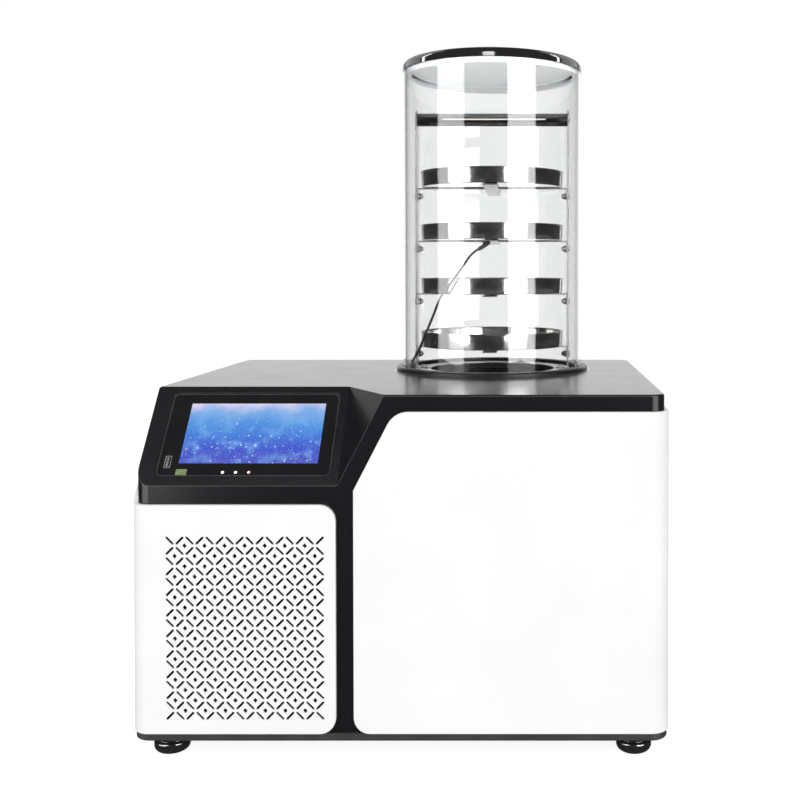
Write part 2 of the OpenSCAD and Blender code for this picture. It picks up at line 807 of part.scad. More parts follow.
module status_lamps() color([0.9, 0.9, 0.9]) on_console()
    for (i = [-1 : 1]) translate([lamp_x + i * lamp_pitch, lamp_y, -pocket_depth]) {
        cylinder(r = lamp_d / 2, h = bezel_t + fit_gap);
        translate([0, 0, -lamp_flange_t]) cylinder(r = lamp_flange_d / 2, h = lamp_flange_t);
    }

module usb_port() color([0.7, 0.7, 0.72]) on_console() translate([usb_x, usb_y, bezel_top]) {
    difference() {
        translate([-usb_w / 2, -usb_h / 2, -usb_depth]) cube([usb_w, usb_h, usb_depth]);
        translate([usb_wall - usb_w / 2, usb_wall - usb_h / 2, usb_wall - usb_depth])
            cube([usb_w - 2 * usb_wall, usb_h - 2 * usb_wall, usb_depth]);
    }
    translate([-usb_tongue, 3 * usb_wall - usb_h / 2, -usb_depth])
        cube([usb_tongue, usb_h - 6 * usb_wall, usb_depth - 2 * usb_wall]);
    translate([0, 0, -bezel_t - usb_wall]) linear_extrude(usb_wall) difference() {
        square([usb_w + 2 * usb_flange, usb_h + 2 * usb_flange], center = true);
        square([usb_w, usb_h], center = true);
    }
}

module blank_sticker() color([0.45, 0.48, 0.2]) on_console()
    translate([sticker_pos.x, sticker_pos.y, bezel_top])
        linear_extrude(sticker_t) square(sticker_size, center = true);

module control_board() color([0.1, 0.35, 0.2]) on_console()
    translate([screen_x, screen_y, -pocket_depth - display_t - board_gap - board_t]) {
        linear_extrude(board_t) square(board_size, center = true);
        corner = board_size / 2 - [standoff_inset, standoff_inset];
        for (x = [-1, 1], y = [-1, 1]) translate([x * corner.x, y * corner.y, board_t])
            cylinder(r = standoff_r, h = board_gap);
        translate([large_chip_pos.x, large_chip_pos.y, board_t]) cube(large_chip);
        translate([small_chip_pos.x, small_chip_pos.y, board_t]) cube(small_chip);
    }

// ---- chamber ----

module chamber_ring() color([0.13, 0.13, 0.14]) at_jar() rotate_extrude() polygon([
    [trap_r, ring_z], [ring_flange_r, ring_z], [ring_flange_r, ring_z + ring_flange_t],
    [ring_r, ring_z + ring_flange_t], [ring_r, deck_z], [trap_r, deck_z]
]);

module cold_trap() color([0.75, 0.75, 0.76]) difference() {
    at_jar() rotate_extrude() polygon([
        [0, pot_floor_z - pot_t], [trap_r + pot_t, pot_floor_z - pot_t], [trap_r + pot_t, ring_z - pot_t],
        [trap_r + pot_flange_w, ring_z - pot_t], [trap_r + pot_flange_w, ring_z],
        [trap_r, ring_z], [trap_r, pot_floor_z], [0, pot_floor_z]
    ]);
    translate([jar_x, jar_y + trap_r / 2, port_z]) rotate([-90, 0, 0])
        cylinder(r = pipe_r + fit_gap, h = trap_r);
    at_jar(pot_floor_z - 2 * pot_t) cylinder(r = drain_bore_r, h = 4 * pot_t);
}

// Copper tube wound round the cold trap
module evaporator_coil() color([0.75, 0.42, 0.25]) at_jar(coil_z) {
    sweep_tube([for (i = [0 : coil_turns * coil_steps]) let (a = 180 + 360 * i / coil_steps)
        [coil_r * cos(a), coil_r * sin(a), coil_pitch * i / coil_steps]], coil_d / 2, [1, 0, 0]);
}

module trap_insulation() color([0.9, 0.85, 0.6]) difference() {
    at_jar(foam_z) cylinder(r = foam_r, h = ring_z - foam_z);
    at_jar(pot_floor_z - pot_t) cylinder(r = foam_in_r, h = trap_depth + 2 * foam_floor_t);
    at_jar(foam_z - 1) cylinder(r = drain_pipe_r + fit_gap, h = 2 * foam_floor_t);
    translate([jar_x, jar_y, port_z]) rotate([-90, 0, 0]) cylinder(r = pipe_r + fit_gap, h = cab_d);
    translate([vent_pos.x, jar_y, vent_pos.y]) rotate([-90, 0, 0])
        cylinder(r = vent_line_r + fit_gap, h = cab_d);
    for (z = [coil_z, coil_top_z]) translate([coil_end_x, jar_y, z]) rotate([0, -90, 0])
        cylinder(r = copper_r + fit_gap, h = 2 * foam_t);
}

// U-shaped rubber seal that the jar stands in
module jar_seal() color([0.11, 0.11, 0.12]) at_jar(deck_z) {
    top = seal_seat + seal_lip_h;
    groove_out = jar_r + fit_gap;
    groove_in = jar_in_r - fit_gap;
    rotate_extrude() polygon([
        [seal_in_r, 0], [seal_r, 0], [seal_r, top - seal_bevel], [seal_r - seal_bevel, top],
        [groove_out, top], [groove_out, seal_seat], [groove_in, seal_seat], [groove_in, top], [seal_in_r, top]
    ]);
}

module jar_tube() color([0.9, 0.95, 0.98, 0.35]) at_jar(jar_z) difference() {
    cylinder(r = jar_r, h = jar_len);
    translate([0, 0, -1]) cylinder(r = jar_in_r, h = jar_len + 2);
}

module lid_gasket() color([0.92, 0.92, 0.92]) at_jar(jar_top_z) {
    drop_r = jar_in_r - fit_gap;
    rotate_extrude() polygon([
        [gasket_in_r, -gasket_drop], [drop_r, -gasket_drop], [drop_r, 0], [jar_r, 0], [jar_r, gasket_t],
        [0, gasket_t], [0, gasket_t - liner_t], [gasket_in_r, gasket_t - liner_t]
    ]);
}

module jar_lid() color([0.05, 0.05, 0.05]) at_jar(lid_z) rotate_extrude() polygon(concat(
    [[0, 0], [jar_r, 0]],
    corner_arc([jar_r, 0], [jar_r, lid_t], [0, lid_t], lid_round),
    [[0, lid_t]]
));

// ---- rack ----

module rack_ring() color([0.75, 0.75, 0.76]) at_jar(deck_z) difference() {
    cylinder(r = rack_ring_r, h = strip_t);
    translate([0, 0, -1]) cylinder(r = rack_ring_r - rack_ring_w, h = strip_t + 2);
    for (x = [-1, 1]) translate([x * tab_screw_x, 0, -1]) cylinder(r = bolt_hole_r, h = strip_t + 2);
}

// Post of the rack: side is -1 on the left and 1 on the right
module rack_post(side) color([0.7, 0.7, 0.71]) at_jar(rack_z) difference() {
    union() {
        translate([side * post_x - strip_t / 2, 0, 0]) rotate([90, 0, 90]) linear_extrude(strip_t) union() {
            translate([-post_w / 2, 0]) square([post_w, post_h - post_w / 2]);
            translate([0, post_h - post_w / 2]) circle(post_w / 2);
        }
        translate([side > 0 ? post_x - foot_tab : -post_x, -post_w / 2, 0]) cube([foot_tab, post_w, strip_t]);
    }
    for (z = concat(tray_z - [for (i = tray_z) bolt_drop + rack_z], [tube_z - rack_z]))
        translate([side * post_x, 0, z]) rotate([0, 90, 0])
            cylinder(r = bolt_hole_r, h = 4 * strip_t, center = true);
    translate([side * tab_screw_x, 0, -1]) cylinder(r = bolt_hole_r, h = strip_t + 2);
}

module rack_tube() color([0.75, 0.75, 0.76]) at_jar(tube_z) rotate([0, 90, 0]) difference() {
    cylinder(r = tube_d / 2, h = 2 * post_in_x, center = true);
    cylinder(r = bolt_hole_r, h = 2 * post_in_x + 2, center = true);
}

module shelf(i) color([0.7, 0.7, 0.71]) at_jar(tray_z[i]) {
    half = post_in_x;
    difference() {
        translate([0, shelf_w / 2, 0]) rotate([90, 0, 0]) linear_extrude(shelf_w) polygon([
            [-half, -shelf_leg], [strip_t - half, -shelf_leg], [strip_t - half, -strip_t],
            [half - strip_t, -strip_t], [half - strip_t, -shelf_leg], [half, -shelf_leg],
            [half, 0], [-half, 0]
        ]);
        for (x = [-1, 1]) translate([x * half, 0, -bolt_drop]) rotate([0, 90, 0])
            cylinder(r = bolt_hole_r, h = 6 * strip_t, center = true);
    }
    translate([-shelf_w / 2, -tray_floor_r, -2 * strip_t]) cube([shelf_w, 2 * tray_floor_r, strip_t]);
}

// Screw along X from outside a post inwards
module rack_screw(side, z, inside) at_jar(z) translate([side * (post_x + strip_t / 2), 0, 0])
    rotate([0, side * 90, 0]) {
        cylinder(r = screw_head_r, h = screw_head_t);
        translate([0, 0, -inside]) cylinder(r = bolt_r, h = inside + screw_head_t / 2);
    }

module rack_screws() color([0.65, 0.65, 0.66]) {
    for (side = [-1, 1], z = tray_z) rack_screw(side, z - bolt_drop, 2 * strip_t + nut_t);
    for (side = [-1, 1]) rack_screw(side, tube_z, tube_screw_l);
    for (side = [-1, 1]) at_jar(rack_z + strip_t) translate([side * tab_screw_x, 0, 0]) {
        cylinder(r = screw_head_r, h = screw_head_t);
        translate([0, 0, -2 * strip_t]) cylinder(r = bolt_r, h = 2 * strip_t + 1);
    }
}

// Domed nuts inside the posts
module rack_nuts() color([0.65, 0.65, 0.66]) for (side = [-1, 1], z = tray_z) at_jar(z - bolt_drop)
    translate([side * (post_in_x - strip_t), 0, 0]) rotate([0, -side * 90, 0]) difference() {
        union() {
            cylinder(r = nut_r, h = nut_t, $fn = 6);
            translate([0, 0, nut_t]) intersection() {
                sphere(dome_r);
                cylinder(r = dome_r, h = dome_r);
            }
        }
        translate([0, 0, -1]) cylinder(r = bolt_r + run_gap, h = nut_t + 1 + run_gap);
    }

// Shallow tapered dish with a beaded rim
module tray(i) color([0.78, 0.78, 0.79]) at_jar(tray_z[i]) {
    rotate_extrude() union() {
        polygon([
            [0, 0], [tray_floor_r, 0], [tray_r - bead_r, tray_h - bead_r],
            [tray_r - bead_r - tray_t, tray_h - bead_r], [tray_floor_r - tray_t, tray_t], [0, tray_t]
        ]);
        translate([tray_r - bead_r - tray_t / 2, tray_h - bead_r]) circle(bead_r, $fn = 16);
    }
}

// ---- probe ----

module probe_gland() color([0.08, 0.08, 0.08]) at_jar(deck_z) translate([gland_pos.x, gland_pos.y, 0]) {
    hex_h = gland_h * 0.6;
    cylinder(r = gland_r, h = hex_h, $fn = 6);
    translate([0, 0, hex_h]) cylinder(r1 = gland_r * 0.85, r2 = probe_d / 2 + fit_gap, h = gland_h - hex_h);
}

module probe_cable() color([0.1, 0.1, 0.1]) at_jar(deck_z)
    sweep_tube(smooth_route(cable_route, 3), probe_d / 2);

module probe_tip() color([0.06, 0.06, 0.06]) at_jar(deck_z) {
    tip = cable_route[len(cable_route) - 1];
    clip_z = probe_tray_z - deck_z - 2 * strip_t - probe_clip.z;
    translate([probe_clip_pos.x, probe_clip_pos.y, clip_z + probe_clip.z / 2])
        cube(probe_clip, center = true);
    axis = [probe_clip_pos.x, probe_clip_pos.y, clip_z] - tip;
    translate(tip) rotate([0, acos(axis.z / norm(axis)), atan2(axis.y, axis.x)])
        cylinder(r = probe_head_d / 2, h = norm(axis) + 1.5);
}

// ---- cooling ----

module compressor() color([0.07, 0.07, 0.07]) translate([comp_x, comp_y, comp_z]) {
    seam_z = comp_h * 0.55;
    base_round = comp_r * 0.35;
    dome_round = comp_r * 0.5;
    rotate_extrude() polygon(concat(
        [[0, 0]],
        corner_arc([0, 0], [comp_r, 0], [comp_r, comp_h], base_round),
        [[comp_r, seam_z], [comp_r + seam_size.x, seam_z],
         [comp_r + seam_size.x, seam_z + seam_size.y], [comp_r, seam_z + seam_size.y]],
        corner_arc([comp_r, 0], [comp_r, comp_h], [0, comp_h], dome_round),
        [[0, comp_h]]
    ));
    difference() {
        translate([0, 0, -comp_plate_t / 2]) cube([comp_plate.x, comp_plate.y, comp_plate_t], center = true);
        for (x = [-1, 1], y = [-1, 1]) comp_corner(x, y)
            cylinder(r = comp_hole_r, h = 4 * comp_plate_t, center = true);
    }
    translate([comp_r - terminal_sink, -terminal_box.y / 2, comp_h / 4]) cube(terminal_box);
    for (stub = [discharge_stub, suction_stub]) translate([stub.x, stub.y, comp_h / 2])
        cylinder(r = copper_r + 1, h = comp_h / 2 + stub_h);
}

module comp_corner(x, y)
    translate([x * (comp_plate.x / 2 - grommet_r), y * (comp_plate.y / 2 - grommet_r), 0]) children();

module compressor_grommets() color([0.15, 0.15, 0.15]) translate([comp_x, comp_y, pan_floor_z])
    for (x = [-1, 1], y = [-1, 1]) comp_corner(x, y) {
        cylinder(r = grommet_r, h = grommet_h);
        cylinder(r = comp_hole_r - fit_gap, h = grommet_h + comp_plate_t + 6);
    }

// Fins with tube passes and U-bends at both sides
module condenser() color([0.72, 0.72, 0.73]) translate([cond_x - cond_size.x / 2, cond_y, cond_z]) {
    fin_step = (cond_size.x - fin_t) / (fin_count - 1);
    row_step = cond_size.z / cond_rows;
    mid_y = cond_size.y / 2;
    for (i = [0 : fin_count - 1]) translate([i * fin_step, 0, 0]) cube([fin_t, cond_size.y, cond_size.z]);
    for (row = [0 : cond_rows - 1]) translate([0, mid_y, (row + 0.5) * row_step]) rotate([0, 90, 0])
        cylinder(r = cond_tube_r, h = cond_size.x);
    for (row = [0 : cond_rows - 2])
        translate([row % 2 == 0 ? cond_size.x : 0, mid_y, (row + 1) * row_step])
            rotate([90, row % 2 == 0 ? 0 : 180, 0]) rotate([0, 0, -90]) rotate_extrude(angle = 180)
                translate([row_step / 2, 0]) circle(cond_tube_r, $fn = 24);
    for (x = [cond_foot_inset, cond_size.x - cond_foot_inset - cond_foot_w])
        translate([x, 0, -cond_foot_h]) cube([cond_foot_w, cond_size.y, cond_foot_h + fin_t]);
}

module fan_shroud() color([0.3, 0.3, 0.31]) translate([cond_x, shroud_y, fan_z]) rotate([-90, 0, 0]) {
    hole_r = fan_r + fan_tip_gap;
    difference() {
        union() {
            translate([-cond_size.x / 2, fan_z - shroud_top, 0])
                cube([cond_size.x, shroud_top - shroud_z, shroud_t]);
            cylinder(r = hole_r + shroud_t, h = shroud_ring_l);
        }
        translate([0, 0, -1]) cylinder(r = hole_r, h = shroud_ring_l + 2);
    }
    for (a = arm_angles) rotate(a) translate([motor_r + fit_gap, -arm_w / 2, shroud_ring_l - arm_t])
        cube([hole_r + shroud_t / 2 - motor_r - fit_gap, arm_w, arm_t]);
}

module fan_motor() color([0.25, 0.25, 0.26]) translate([cond_x, 0, fan_z]) rotate([-90, 0, 0]) {
    translate([0, 0, motor_y]) cylinder(r = motor_r, h = motor_l);
    translate([0, 0, fan_y + hub_cap]) cylinder(r = shaft_r, h = motor_y - fan_y);
    for (a = arm_angles) rotate(a) translate([motor_r - arm_root, -arm_w / 2, shroud_y + shroud_ring_l])
        cube([hub_r, arm_w, arm_t]);
}

module fan_rotor() color([0.16, 0.16, 0.17]) translate([cond_x, fan_y, fan_z]) rotate([-90, 0, 0]) {
    difference() {
        cylinder(r = hub_r, h = hub_l);
        translate([0, 0, hub_cap - fit_gap]) cylinder(r = shaft_r + run_gap, h = hub_l);
    }
    intersection() {
        difference() {
            cylinder(r = fan_r, h = hub_l);
            translate([0, 0, -1]) cylinder(r = hub_r - 1, h = hub_l + 2);
        }
        for (i = [0 : fan_blades - 1]) rotate(360 * i / fan_blades) translate([0, 0, hub_l / 2])
            rotate([90 - blade_pitch, 0, 0]) translate([hub_r - 2, -hub_l, -blade_t / 2])
                cube([fan_r, 2 * hub_l, blade_t]);
    }
}

module filter_drier() color([0.75, 0.45, 0.28]) translate([drier_x, drier_y, drier_z]) {
    neck = 14;
    stub = 6;
    rotate_extrude() polygon([
        [0, 0], [copper_r, 0], [copper_r, stub], [drier_r, neck], [drier_r, drier_l - neck],
        [copper_r, drier_l - stub], [copper_r, drier_l], [0, drier_l]
    ]);
}

function cond_end(row) = [cond_x - cond_size.x / 2, cond_y + cond_size.y / 2,
                          cond_z + (row + 0.5) * cond_size.z / cond_rows];
function comp_stub(stub) = [comp_x + stub.x, comp_y + stub.y, comp_z + comp_h + stub_h];

// Copper pipe from the compressor to the top of the condenser
function discharge_route() =
    let (a = comp_stub(discharge_stub), b = cond_end(cond_rows - 1))
    [
        a, a + [0, 0, 8], a + [0, 0, 16], a + [-12, -12, 30], a + [-50, -40, 34],
        [b.x + 2, a.y - 70, b.z + 22], [b.x - 11, b.y + 70, b.z + 12],
        b + [-13, 24, 1], b + [-11, 5, 0], b + [-6, 0, 0], b + [-3, 0, 0], b
    ];

// Copper pipe from the bottom of the condenser to the filter drier
function liquid_route() =
    let (a = cond_end(0), b = [drier_x, drier_y, drier_z])
    [
        a, a + [-3, 0, 0], a + [-6, 0, 0], a + [-11, 5, 0], a + [-13, 26, -4], [a.x - 8, shroud_y + 40, 42],
        [a.x + 24, shroud_y + 60, 38], [b.x - 60, shroud_y + 60, 36], [b.x - 16, b.y + 12, 42],
        [b.x, b.y, 66], [b.x, b.y, 84], b - [0, 0, 10], b
    ];

// Thin tube from the filter drier to the evaporator
function capillary_route() =
    let (a = [drier_x, drier_y, drier_z + drier_l], b = [coil_end_x, jar_y, coil_z])
    [
        a, a + [0, 0, 6], a + [0, 0, 12], a + [0, 30, 26], [b.x - foam_t - 30, b.y - 60, b.z + 6],
        [b.x - foam_t - 24, b.y - 14, b.z + 1], [b.x - foam_t - 10, b.y, b.z], b - [foam_t, 0, 0],
        b - [foam_t / 2, 0, 0], b
    ];

// Copper pipe from the evaporator back to the compressor
function suction_route() =
    let (a = [coil_end_x, jar_y, coil_top_z], b = comp_stub(suction_stub))
    [
        a, a - [foam_t / 2, 0, 0], a - [foam_t, 0, 0], a - [foam_t + 12, 0, 0], a + [-foam_t - 30, 6, -8],
        [b.x + 18, b.y, b.z + 46], [b.x + 3, b.y, b.z + 34], b + [0, 0, 16], b + [0, 0, 8], b
    ];

module refrigerant_pipes() color([0.75, 0.42, 0.25]) {
    sweep_tube(smooth_route(discharge_route(), 3), copper_r);
    sweep_tube(smooth_route(liquid_route(), 3), copper_r);
    sweep_tube(smooth_route(suction_route(), 3), copper_r);
    sweep_tube(smooth_route(capillary_route(), 3), capillary_r);
}

module power_supply() color([0.62, 0.63, 0.64]) translate([supply_pos.x, supply_pos.y, pan_floor_z])
    difference() {
        cube(supply_size);
        for (i = [1 : supply_slots])
            translate([i * supply_size.x / (supply_slots + 1), supply_size.y / 2, supply_size.z])
                cube(supply_slot, center = true);
    }

// ---- services ----

module vacuum_port() color([0.75, 0.75, 0.76]) translate([jar_x, 0, port_z]) rotate([-90, 0, 0]) {
    start = jar_y + trap_r + pot_t + port_weld;
    end = rear_y + port_reach;
    rotate_extrude() polygon([
        [port_r, start], [pipe_r, start], [pipe_r, end - port_flange_t - port_taper],
        [port_flange_r, end - port_flange_t], [port_flange_r, end], [port_r, end]
    ]);
}

module vent_valve() color([0.72, 0.6, 0.35]) on_back(vent_pos) {
    cylinder(r = vent_body_r, h = vent_body_l);
    translate([0, 0, -rear_t - vent_tail]) cylinder(r = vent_stem_r, h = rear_t + vent_tail + 1);
    translate([0, 0, -rear_t - vent_nut_t]) cylinder(r = vent_body_r, h = vent_nut_t, $fn = 6);
    cylinder(r = vent_stem_r, h = vent_body_l + vent_stem_l);
    translate([0, 0, nipple_place]) rotate([-90, 0, 0]) {
        cylinder(r = nipple_collar_r, h = vent_body_r + nipple_collar_t);
        cylinder(r = vent_stem_r, h = vent_body_r + nipple_collar_t + nipple_l);
    }
}

// Small tube from the vent valve through the foam to the cold trap
module vent_line() color([0.75, 0.42, 0.25]) {
    inner_side = vent_side - vent_line_r;
    start = jar_y + sqrt(pow(trap_r + pot_t, 2) - pow(inner_side, 2)) + fit_gap;
    translate([vent_pos.x, start, vent_pos.y]) rotate([-90, 0, 0])
        cylinder(r = vent_line_r, h = rear_y - rear_t - vent_tail - start);
}

module vent_knob() color([0.08, 0.08, 0.08]) on_back(vent_pos) translate([0, 0, vent_body_l + fit_gap])
    difference() {
        cylinder(r = knob_r, h = knob_l + knob_wall);
        translate([0, 0, -1]) cylinder(r = vent_stem_r + run_gap, h = vent_stem_l + 1);
        for (i = [0 : knob_flutes - 1]) rotate(360 * i / knob_flutes) translate([knob_r + flute_r / 2, 0, -1])
            cylinder(r = flute_r, h = knob_l + knob_wall + 2);
    }

module drain_valve() color([0.72, 0.6, 0.35]) {
    bend_z = drain_z + drain_bend_r;
    at_jar(bend_z) cylinder(r = drain_pipe_r, h = pot_floor_z - pot_t - bend_z);
    translate([jar_x, jar_y + drain_bend_r, bend_z]) rotate([90, 0, 90]) rotate([0, 0, 180])
        rotate_extrude(angle = 90) translate([drain_bend_r, 0]) circle(drain_pipe_r);
    translate([jar_x, jar_y + drain_bend_r, drain_z]) rotate([-90, 0, 0])
        cylinder(r = drain_pipe_r, h = rear_y - jar_y - drain_bend_r);
    on_back([jar_x, drain_z]) {
        cylinder(r = drain_body_r, h = drain_body_l);
        cylinder(r = spigot_r, h = port_reach);
    }
    translate([jar_x, rear_y + drain_body_l / 2, drain_z]) cylinder(r = stem_r, h = drain_body_r + stem_h);
}

module drain_handle() color([0.75, 0.1, 0.08])
    translate([jar_x, rear_y + drain_body_l / 2, drain_z + drain_body_r + handle_rise]) difference() {
        union() {
            cylinder(r = handle_hub_r, h = stem_h);
            translate([0, -handle_w / 2, stem_h - handle_t]) cube([handle_l, handle_w, handle_t]);
            translate([handle_l, 0, stem_h - handle_t]) cylinder(r = handle_w / 2, h = handle_t);
        }
        translate([0, 0, -1]) cylinder(r = stem_r + run_gap, h = stem_h - handle_rise + fit_gap + 1);
    }

// Flanged socket with three contacts, open to the back
module rear_socket(pos) on_back(pos) {
    difference() {
        union() {
            linear_extrude(socket_plate_t) square(inlet_plate, center = true);
            translate([0, 0, -inlet_depth]) linear_extrude(inlet_depth)
                square(inlet_open + 2 * [inlet_wall, inlet_wall], center = true);
        }
        translate([0, 0, inlet_wall - inlet_depth]) linear_extrude(2 * inlet_depth)
            square(inlet_open, center = true);
        for (x = [-1, 1]) translate([x * inlet_screw_x, 0, -1])
            cylinder(r = bolt_hole_r, h = 2 * socket_plate_t);
    }
    for (place = contact_places) translate([place.x, place.y, (inlet_wall + contact_l) / 2 - inlet_depth])
        cube([contact_size.x, contact_size.y, inlet_wall / 2 + contact_l], center = true);
}

module mains_inlet() color([0.07, 0.07, 0.07]) rear_socket(inlet_pos);

module switch_frame() color([0.07, 0.07, 0.07]) on_back(switch_pos) difference() {
    union() {
        linear_extrude(socket_plate_t) square(switch_open + [switch_rim, switch_rim], center = true);
        translate([0, 0, -switch_depth]) linear_extrude(switch_depth)
            square(switch_open + 2 * [switch_wall, switch_wall], center = true);
    }
    translate([0, 0, switch_wall - switch_depth]) linear_extrude(2 * switch_depth)
        square(switch_open, center = true);
    pin_hole_l = switch_open.x + 2 * switch_wall - fit_gap;
    translate([0, 0, -rocker_sink]) rotate([0, 90, 0])
        cylinder(r = rocker_pin_r + run_gap, h = pin_hole_l, center = true);
}

module pump_outlet() color([0.07, 0.07, 0.07]) rear_socket(outlet_pos);

module power_rocker() color([0.5, 0.05, 0.04]) on_back(switch_pos) translate([0, 0, -rocker_sink]) {
    width = switch_open.x - 2 * rocker_gap;
    reach = rocker_r + 1;
    tip_z = rocker_sink + reach * tan(rocker_tilt);
    rotate([0, 90, 0]) cylinder(r = rocker_pin_r, h = switch_open.x + switch_wall, center = true);
    rotate([rocker_tilt, 0, 0]) intersection() {
        rotate([0, 90, 0]) cylinder(r = rocker_r, h = width, center = true);
        rotate([90, 0, 90]) translate([0, 0, -width / 2]) linear_extrude(width) polygon([
            [-reach, -rocker_base], [reach, -rocker_base], [reach, tip_z], [0, rocker_sink], [-reach, tip_z]
        ]);
    }
}

// ---- drawing ----

base_pan();
cover_shell();
left_panel();
right_panel();
rear_panel();
rear_screws();
foot(-1, 0);  // foot_front_left
foot(1, 0);  // foot_front_right
foot(-1, 1);  // foot_rear_left
foot(1, 1);  // foot_rear_right
console_bezel();
touch_display();
status_lamps();
usb_port();
blank_sticker();
control_board();
chamber_ring();
cold_trap();
evaporator_coil();
trap_insulation();
jar_seal();
jar_tube();
lid_gasket();
jar_lid();
rack_ring();
rack_post(-1);  // rack_post_left
rack_post(1);  // rack_post_right
rack_tube();
rack_screws();
rack_nuts();
for (i = [0 : 3]) shelf(i);
for (i = [0 : 3]) tray(i);
probe_gland();
probe_cable();
probe_tip();
compressor();
compressor_grommets();
condenser();
fan_shroud();
fan_motor();
fan_rotor();
filter_drier();
refrigerant_pipes();
vacuum_port();
vent_line();
vent_valve();
vent_knob();
drain_valve();
drain_handle();
mains_inlet();
pump_outlet();
switch_frame();
power_rocker();
power_supply();
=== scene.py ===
import json
import math

import bmesh
import bpy
from mathutils import Matrix, Vector


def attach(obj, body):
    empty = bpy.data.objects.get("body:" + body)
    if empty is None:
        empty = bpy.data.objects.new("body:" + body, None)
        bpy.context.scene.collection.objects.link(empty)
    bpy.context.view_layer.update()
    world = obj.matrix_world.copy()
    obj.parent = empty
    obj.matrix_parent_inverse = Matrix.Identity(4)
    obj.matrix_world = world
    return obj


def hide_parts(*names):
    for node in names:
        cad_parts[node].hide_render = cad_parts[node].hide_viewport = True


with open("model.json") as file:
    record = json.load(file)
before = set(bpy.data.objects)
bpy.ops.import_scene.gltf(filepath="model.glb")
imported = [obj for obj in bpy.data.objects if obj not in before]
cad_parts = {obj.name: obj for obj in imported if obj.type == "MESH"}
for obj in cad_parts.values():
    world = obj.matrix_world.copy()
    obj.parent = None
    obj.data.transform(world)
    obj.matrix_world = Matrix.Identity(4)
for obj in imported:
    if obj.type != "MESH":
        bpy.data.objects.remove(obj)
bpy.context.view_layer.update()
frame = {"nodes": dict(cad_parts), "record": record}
nodes = frame["nodes"]
slots = {r["node"]: r["material_slot"] for r in frame["record"]["subparts"]}
scene = bpy.context.scene
MM = 0.001

# Values of the part's source, in millimetres. A pair is a place (x, y) or a size.
DECK_Z = 382.5
JAR = (85.5, 66.5)
JAR_R = 118
JAR_WALL = 5
JAR_LEN = 386
SEAL_SEAT = 3.5
SEAL_OVERHANG = 8
LID_T = 9.6
LID_ROUND = 7
GASKET_T = 3
FIT_GAP = 0.3
TRAY_R = 95
TRAY_H = 20.5
TRAY_T = 1
TRAY_FIRST = 30.5
TRAY_PITCH = 69.5
TRAYS = 4
SHELVES = 4
FOOT_R = 19
FOOT_H = 20
FOOT_X = 246.8
FOOT_Y = {"front": -208.5, "rear": 168.5}
GRILLE_FRONT_Y = -200
GRILLE_X = -161.2
GRILLE_Z = 139.2
GRILLE_HALF_W = 92
GRILLE_HALF_H = 105

# The same for the console, in the frame of its slope: x to the right, y up the slope, tops out of it
BEZEL = (-166.73, 63)
BEZEL_SIZE = (185, 103)
BEZEL_R = 7
BEZEL_TOP = -0.7
SCREEN = (-163.33, 64.7)
SCREEN_SIZE = (147.4, 74.4)
SCREEN_TOP = -1.2
DISPLAY_BORDER = (5.8, 7)
DISPLAY_T = 10
LAMP_MIDDLE = (-174.63, 16.7)
LAMP_PITCH = 13.8
LAMP_TOP = -0.4
CONSOLE_Y = -233
CONSOLE_Z = 287
CONSOLE_SETBACK = 78

# The slope's frame, from the middle of its lower edge
CONSOLE = (Matrix.Translation((0, CONSOLE_Y * MM, CONSOLE_Z * MM))
           @ Matrix.Rotation(math.atan2(DECK_Z - CONSOLE_Z, CONSOLE_SETBACK), 4, "X"))

# The probe's lead: its radius in metres, and its route in millimetres from the jar's axis at the deck
LEAD_R = 0.0015
LEAD_SIDES = 16
LEAD_STEPS = 6
CABLE_ROUTE = [
    (-101.5, -32.3, 7), (-101.5, -32.3, 8.5), (-101.5, -32.3, 10.5), (-100.6, -33, 13.5),
    (-97.8, -35.8, 18), (-94, -41, 24), (-90.3, -46.3, 30), (-86.6, -53.4, 38),
    (-80.7, -62.4, 50.4), (-74.2, -70, 64.8), (-69.4, -74, 76.3), (-65, -77.8, 87),
    (-60, -81.2, 97.9), (-49.5, -87.4, 111.7), (-39.3, -92, 125.4), (-31.5, -94, 136.5),
    (-24.5, -93.1, 147), (-18.25, -90.3, 153.5), (-15.875, -89.25, 155), (-13.5, -88.2, 156.5),
]

# Sockets of a Mix node: the two colours and the mixed one, and the two numbers
MIX_COLOURS = (6, 7)
MIX_COLOUR_OUT = 2
MIX_NUMBERS = (2, 3)


# ---- camera and cord ----

def make_camera():
    """A camera a little above the middle of the object, tilted one degree down."""
    camera = bpy.data.objects.new("camera", bpy.data.cameras.new("camera"))
    scene.collection.objects.link(camera)
    camera.location = (0.1370, -1.3103, 0.5096)
    camera.rotation_euler = (math.radians(90 - 1), 0, 0)
    camera.data.lens = 46.6
    camera.data.shift_x = -0.1638
    camera.data.shift_y = -0.1363
    camera.data.clip_start = 0.05
    camera.data.clip_end = 200
    scene.camera = camera


def arc(start, end, steps):
    """The cosine and sine of evenly spaced angles from start to end, in degrees."""
    angles = [math.radians(start + (end - start) * k / steps) for k in range(steps + 1)]
    return [(math.cos(a), math.sin(a)) for a in angles]


def smooth_route(points, steps):
    """The points of the smooth curve through a route, as in the part's source."""
    points = [Vector(p) for p in points]
    n = len(points)
    found = []
    for i in range(n - 1):
        p0, p1, p2, p3 = points[max(i - 1, 0)], points[i], points[i + 1], points[min(i + 2, n - 1)]
        for k in range(steps):
            t = k / steps
            straight = 2 * p1 + (p2 - p0) * t
            bend = (2 * p0 - 5 * p1 + 4 * p2 - p3) * t * t
            twist = (3 * p1 - p0 - 3 * p2 + p3) * t ** 3
            found.append(0.5 * (straight + bend + twist))
    return found + [points[-1]]


